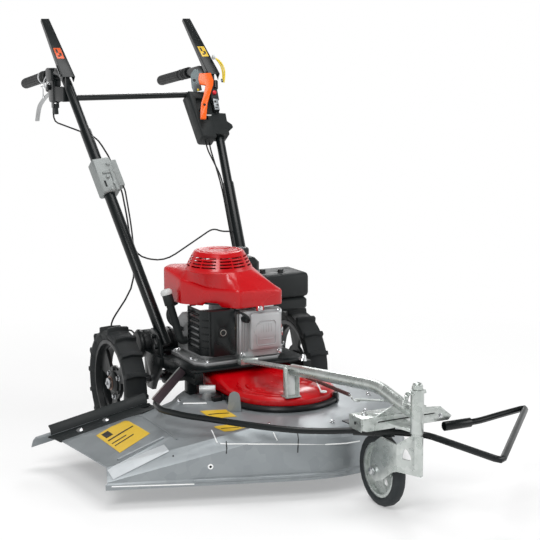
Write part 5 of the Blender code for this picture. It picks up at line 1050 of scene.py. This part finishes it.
# %% Hubs and valves
oiled_washer = even_finish("oiled_brown_washer", "#8C7064", "#6A564C", 8, (.35, .5), 1, .03, .6)
HUB_RADIUS = .0415
WEB_FACE = .3043
HUB_FACE = .3163
AXLE_END = .3255
AXLE_HEIGHT = .168
VALVE = ((0, -.002), (.004, -.002), (.004, .005), (.003, .008), (.003, .019), (0, .0195))
for side, name in ((-1, "right"), (1, "left")):
    outward = (side, 0, 0)
    nuts = []
    for angle in (math.radians(30), math.radians(150), math.radians(270)):
        nuts.append(bolt(at(side * WEB_FACE, HUB_RADIUS * math.cos(angle),
                            AXLE_HEIGHT + HUB_RADIUS * math.sin(angle)), outward, 1.2))
    nuts.append(bolt(at(side * AXLE_END, 0, AXLE_HEIGHT), outward, .85))
    ring = turned(washer(.0165, .021, .0016), at(side * HUB_FACE, 0, AXLE_HEIGHT), outward, 28)
    stem = turned(VALVE, at(side * .296, -.08, AXLE_HEIGHT + .078), (side, .2, -.2), 14)
    for pieces, what, finish, slot in ((nuts, "nuts", turned_steel, "steel"),
                                       ([ring], "washer", oiled_washer, "steel"),
                                       ([stem], "valve", seal_rubber, "tyre")):
        fitted(pieces, f"wheel_{name}_{what}", finish, f"wheel_{name}")

# %% [markdown]
# The gearbox's drum has three raised bands, and a strip under it is drawn in the near-white of a painted
# highlight.

# %% Gearbox details
strip = block(at(-.14, .084, .2135), (.062, .018, .0026), .0006)
fitted([strip], "gearbox_strip_highlight", highlight_white)
bands = [turned(washer(.0405, .043, .006), at(x, .084, .256), (1, 0, 0), 28)
         for x in (-.192, -.145, -.096)]
fitted(bands, "gearbox_bands", gear_black)

# %% [markdown]
# **Handlebar.** The grips are ribbed rubber with a collar, a plated ring and a domed end. The
# right grip carries the drive brake with its link and springs, the left one the stop switch, its
# wires and a plated bracket. Both long levers have a coloured sticker.

# %% Grips
GRIP_SLOPE = -.054 / .4
GRIP_START = .765
GRIP_END = .93
GRIP_RIBS = 12
RIB_OFF = .0171
COLLAR = ((.016, 0), (.0192, .001), (.0192, .005), (.016, .006), (.016, 0))
PLATED_RING = ((.0172, 0), (.0204, .0006), (.0204, .008), (.0172, .0086), (.0172, 0))
grip_way = Vector((0, 1, GRIP_SLOPE))


def grip_at(side, y):
    """The middle of the grip's tube at a distance behind the axle."""
    return at(side * .251, y, 1.06 + GRIP_SLOPE * (y - .545))


for side, name in ((-1, "right"), (1, "left")):
    pieces = []
    for step in range(GRIP_RIBS):
        angle = math.radians(360 / GRIP_RIBS * step)
        off = Vector((math.cos(angle) * RIB_OFF, 0, math.sin(angle) * RIB_OFF))
        pieces.append(rod([grip_at(side, y) + off for y in (GRIP_START, GRIP_END)], .0014, 1, bent=True))
    pieces += [turned(COLLAR, grip_at(side, y), grip_way, 24) for y in (.712, .724, .755)]
    fitted(pieces, f"grip_{name}_ribs", grip_rubber)
links = [turned(PLATED_RING, grip_at(-1, .738), grip_way, 28),
         wire(.0022, (-.264, .672, 1.04), (-.27, .684, 1.02), (-.264, .696, 1.001)),
         wire(.0016, (-.26, .664, 1.036), (-.264, .69, 1.0)),
         loop(at(-.264, .726, 1.008), (1, 0, 0), .006, .002),
         wire(.0026, (-.26, .723, .999), (-.26, .726, .966)),
         loop(at(-.26, .723, .998), (1, 0, 0), .0038, .0016, 14),
         loop(at(-.26, .726, .968), (1, 0, 0), .0038, .0016, 14),
         bolt(at(-.2672, .635, 1.013), (-1, 0, 0), 1.0)]
fitted(links, "brake_links", bright_plate)
perch = [block(at(-.251, .63, .97), (.03, .042, .03), .006),
         block(at(-.251, .598, .988), (.024, .03, .044), .006),
         turned(((0, 0), (.01, 0), (.01, .008), (.006, .01), (0, .01)), at(-.266, .635, 1.005),
                (-1, 0, 0), 20),
         turned(((0, 0), (.009, 0), (.009, .005), (.007, .007), (0, .007)), at(-.259, .673, .997),
                (-1, 0, 0), 20)]
fitted(perch, "brake_perch_body", powder_black)

# %% [markdown]
# Halfway up the right tube a die cast clamp joins the upper and lower part of the handlebar. Its
# face has a rounded rib and two bolts, a dark rod in a gap is painted shade, and thin straps
# hold the cables to both tubes.

# %% The clamp's relief and the cable straps
CLAMP_FACE = Vector((0, -.812, .584))
CLAMP_UP = Vector((-.1042, .5808, .8074))
CLAMP_LEFT = Vector((.9946, .0609, .0846))
TUBE_FOOT = (.148, -.029, .262)
TUBE_RISE = (.103, .574, .798)
STRAP = ((.0146, 0), (.0164, .0004), (.0164, .0056), (.0146, .006), (.0146, 0))


def on_clamp(left, up, off=0):
    """A place on the face of the handlebar's clamp."""
    return at(-.2052, .2718, .7213) + CLAMP_LEFT * left + CLAMP_UP * up + CLAMP_FACE * off


rib = rod([on_clamp(.022, -.025), on_clamp(.022, .048)], .0065, 3, bent=True)
bar = rod([on_clamp(-.008, .04), on_clamp(.03, .04)], .0045, 3, bent=True)
clamp_bolts = [bolt(on_clamp(.004, up, .0004), CLAMP_FACE, .9) for up in (.024, -.02)]
fitted([rib, bar] + clamp_bolts, "clamp_relief", clamp_metal)
# Painted shade: a dark rod in the gap between the clamp's plates.
dark = [rod([on_clamp(-.01, -.008), on_clamp(-.01, .012)], .003, 2, bent=True)]
for side, height in ((-1, .87), (-1, .545), (-1, .5), (1, .66), (1, .48)):
    part = (height - TUBE_FOOT[2]) / TUBE_RISE[2]
    spot = at(side * (TUBE_FOOT[0] + TUBE_RISE[0] * part), TUBE_FOOT[1] + TUBE_RISE[1] * part, height)
    dark.append(turned(STRAP, spot, (-side * CLAMP_UP.x, CLAMP_UP.y, CLAMP_UP.z), 24))
fitted(dark, "clamp_gap_shade_and_straps", seal_rubber)

# %% [markdown]
# A place on a long lever is measured along it from its pivot, across it, and off its face.

# %% Stickers and edges of the long levers
LEVER_WAY = Vector((0, .7771, .6293))
LEVER_FACE = Vector((0, -.6293, .7771))
LEVER_TURN = (math.radians(39), 0, 0)
LABEL_ALONG = .096
LEVER_MARKS = ((-.004, .01, .006, .018), (.004, -.006, .007, .014), (-.003, -.014, .008, .006))


def on_lever(side, across, along, off=.0092):
    """A place on the face of a long lever."""
    return at(side * .251 + across, .503, 1.046) + LEVER_WAY * along + LEVER_FACE * off


vinyl_orange = even_finish("printed_orange_vinyl", "#E8642A", "#CE4A1C", 12, (.3, .4), 2, .01)
for side, name, shift, finish in ((-1, "right", -.002, vinyl_orange), (1, "left", 0, vinyl_yellow)):
    body = f"clutch_lever_{name}"
    label = block(on_lever(side, shift, LABEL_ALONG), (.024, .052, .0006), .0002, LEVER_TURN)
    fitted([label], f"lever_{name}_sticker", finish, body)
    marks = [block(on_lever(side, shift + left, LABEL_ALONG + up, .0098), (width, length, .0004), .0001,
                   LEVER_TURN)
             for left, up, width, length in LEVER_MARKS]
    fitted(marks, f"lever_{name}_sticker_ink", ink_black, body)
# Painted highlight: a bright plated rod along the lever's lower edge.
edge_highlight_line = [on_lever(-1, -.0205, .002, -.008), on_lever(-1, -.0195, .056, -.006)]
fitted([rod(edge_highlight_line, .0014, 2, bent=True)], "lever_right_edge_highlight", bright_plate,
       "clutch_lever_right")

# %% [markdown]
# The left tube's fittings are measured in the tube's own directions: across it to the left, to
# the rear of it, and up along it.

# %% Places on the left tube
TUBE_LEFT = Vector((.99456, -.06085, -.0846))
TUBE_REAR = Vector((0, .8118, -.58393))
TUBE_UP = Vector((.10421, .58075, .80738))
tube_turn = Matrix((TUBE_LEFT, TUBE_REAR, TUBE_UP)).transposed().to_euler()
bracket_turn = Matrix((TUBE_LEFT, TUBE_UP, -TUBE_REAR)).transposed().to_euler()


def by_tube(left, rear, up):
    """A place measured from the left tube beside the control box."""
    return at(.2297, .42632, .895) + TUBE_LEFT * left + TUBE_REAR * rear + TUBE_UP * up


def on_tube(place, size, radius):
    """A block that stands square to the left tube."""
    return block(by_tube(*place), size, radius, tube_turn)


print("the tube leans", round(math.degrees(TUBE_UP.angle(Vector((0, 0, 1)))), 1), "degrees")

# %% [markdown]
# A switch like this stops the engine when the lever is let go. A grey bracket holds it, with a
# black cylinder behind, and two yellow wires loop from its connector to the bracket. The label
# below bears three marks.

# %% The stop switch
BRACKET = ((-.056, .18), (-.04, .183), (-.04, .1), (-.07, .09), (-.074, .11),
           (-.07, .16))
SWITCH_MARKS = ((-.003, .01, .008, .008), (.003, -.002, .007, .006), (-.002, -.013, .009, .004))
plated_grey = even_finish("grey_passivated_bracket", "#6E7A7C", "#5C6769", 20, (.35, .45), 2, .03, .5)
bracket = [plate(BRACKET, .0025, by_tube(0, -.016, 0), bracket_turn),
           loop(at(.274, .474, 1.019), (1, 0, .2), .005, .0016)]
fitted(bracket, "switch_bracket", plated_grey)
connector = block(at(.27, .53, 1.095), (.008, .013, .012), .0015, LEVER_TURN)
pale_parts = [on_tube((-.041, -.036, -.0095), (.018, .003, .004), .0006), connector,
              hose(.0026, (.274, .536, 1.072), (.276, .52, 1.046), (.27, .496, 1.023), sides=2,
                   steps=4)]
fitted(pale_parts, "switch_pale_parts", pale_cap)
black_parts = [turned(disc(.005, .0006), by_tube(-.061, -.0188, .137), -TUBE_REAR),
               rod([by_tube(.008, -.03, .13), by_tube(.004, -.03, .102)], .0085, 4, bent=True)]
fitted(black_parts, "switch_black_parts", black_abs)
wire_yellow = even_finish("yellow_wire_sleeve", "#E8CF3A", "#D8BC28", 20, (.35, .45), 2, .02)
wires = [hose(.003, (.279, .53, 1.09), (.282, .508, 1.078), (.284, .488, 1.052),
              (.281, .48, 1.03), (.278, .474, 1.015), sides=2, steps=5),
         hose(.0026, (.28, .532, 1.09), (.285, .506, 1.082), (.287, .48, 1.056),
              (.284, .474, 1.03), (.279, .47, 1.013), sides=2, steps=5),
         on_tube((-.056, -.024, .096), (.006, .003, .008), .0008)]
fitted(wires, "switch_yellow_wires", wire_yellow)
label = on_tube((-.008, -.0395, .033), (.017, .001, .042), .0003)
fitted([label], "switch_label", deck_metal)
backing = on_tube((-.008, -.032, .033), (.019, .014, .044), .002)
fitted([backing], "switch_label_backing", black_pp)
marks = [on_tube((-.008 + shift, -.0402, .033 + up), (width, .0006, height), .0002)
         for shift, up, width, height in SWITCH_MARKS]
fitted(marks, "switch_label_ink", ink_black)

# %% [markdown]
# The carburettor's linkage shows between the rocker cover and the air cleaner: a gasket block,
# two rods, a governor spring and the cup of the arm's damper.

# %% Carburettor linkage
block_brown = even_finish("phenolic_gasket_block", "#8A3A28", "#6F2C1E", 8, (.4, .5), 1, .03)
gasket = [block(at(.118, -.208, .296), (.014, .018, .02), .002),
          block(at(.122, -.22, .276), (.02, .01, .012), .002)]
fitted(gasket, "carburettor_gasket", block_brown)
linkage = [hose(.0018, (.112, -.23, .335), (.126, -.226, .325), (.138, -.212, .3), sides=2,
                steps=3),
           coil(at(.118, -.24, .27), at(.14, -.22, .286), .0034, .0009, 9),
           block(at(.13, -.21, .318), (.024, .003, .026), .001, (0, 0, math.radians(-24))),
           turned(((0, 0), (.011, 0), (.005, .015), (0, .016)), at(.046, -.514, .304), (.2, -.1, 1))]
fitted(linkage, "carburettor_linkage", bright_plate)

# %% [markdown]
# The bolt that the others were copied from has done its work, and is removed.

# %% Clear up
bpy.data.objects.remove(master_bolt)

# %% [markdown]
# The photograph was taken from the front right, a little above the deck, with a long lens. The
# camera stands where the lines of the picture say it stood. It rolls by a third of a degree.

# %% The camera
CAMERA_PLACE = (-1.70475, -3.78198, 1.18424)
CAMERA_AIM = (-.005, -.422, .541)
LENS = 93.79
bpy.ops.object.camera_add(location=at(*CAMERA_PLACE))
camera = bpy.context.object
aim = (at(*CAMERA_AIM) - at(*CAMERA_PLACE)).to_track_quat("-Z", "Y")
roll = Matrix.Rotation(math.radians(-.311), 3, "Z")
camera.rotation_euler = (aim.to_matrix() @ roll).to_euler()
camera.data.lens = LENS
camera.data.clip_end = 60
bpy.context.scene.camera = camera

# %% [markdown]
# A packshot is lit by large soft lamps over a white sweep. Light from the front right shapes the
# red covers, a fill from the left opens the shadows, and a lamp behind draws the edges of the
# black parts. The floor is white near the mower and melts into the white backdrop far from it.

# %% Lamps
def lamp(name, place, aim_at, size, watts):
    """A square soft lamp that points at a place."""
    bpy.ops.object.light_add(type="AREA", location=at(*place))
    light = bpy.context.object
    light.name = name
    light.rotation_euler = (at(*aim_at) - at(*place)).to_track_quat("-Z", "Y").to_euler()
    light.data.size = size
    light.data.energy = watts
    print(name, "lamp of", watts, "W")


lamp("key", (-2.2, -3.0, 3.2), (0, -.4, .3), 1.6, 85)
lamp("fill", (3.0, -2.4, 1.8), (0, -.4, .4), 1.8, 26)
lamp("top", (.3, -.3, 3.8), (0, -.3, 0), 2.2, 62)
lamp("back", (1.6, 3.0, 2.4), (0, 0, .5), 1.2, 40)

# %% [markdown]
# What the backdrop shows depends on who looks. The camera sees plain white, the light that it
# sheds on the mower is a soft grey, and bright metal mirrors a paler band near the horizon.

# %% White backdrop
world = bpy.data.worlds.new("white_studio")
bpy.context.scene.world = world
world.use_nodes = True
studio = world.node_tree
studio.nodes.clear()
path = add(studio, "LightPath", {})
direction = add(studio, "TexCoord", {}).outputs["Generated"]
height = add(studio, "SeparateXYZ", {"Vector": direction}).outputs["Z"]
overhead = remap(studio, height, .12, .5, .95, .22)
mirrored = add(studio, "Math", {0: path.outputs["Is Glossy Ray"],
                                1: path.outputs["Is Transmission Ray"]}, operation="MAXIMUM")
lit = mix(studio, mirrored.outputs["Value"], (.34, .34, .34, 1), overhead)
shown = mix(studio, path.outputs["Is Camera Ray"], lit, (1, 1, 1, 1))
backdrop = add(studio, "Background", {"Color": shown, "Strength": 1.0})
add(studio, "OutputWorld", {"Surface": backdrop.outputs["Background"]})

# %% [markdown]
# The floor catches the shadows near the mower. Farther out its paint gives way to plain white
# light, so that no edge shows where the floor ends.

# %% Floor
bpy.ops.mesh.primitive_plane_add(size=16, location=at(0, -.4, 0))
floor = bpy.context.object
floor.name = "studio_floor"
floor_paint, tree, place, shader = start("white_sweep")
middle = add(tree, "VectorMath", {0: place}, operation="LENGTH")
far = remap(tree, middle.outputs["Value"], .9, 2.2, .3, 1)
surface(tree, shader, Base_Color=linear("#F7F7F7"), Roughness=.9)
white = add(tree, "Emission", {"Color": (1, 1, 1, 1), "Strength": 1.0})
sweep = add(tree, "MixShader", {0: far, 1: shader.outputs["BSDF"], 2: white.outputs["Emission"]})
tree.links.new(sweep.outputs["Shader"], tree.nodes["Material Output"].inputs["Surface"])
floor.data.materials.append(floor_paint)
bpy.context.scene.view_settings.view_transform = "Standard"
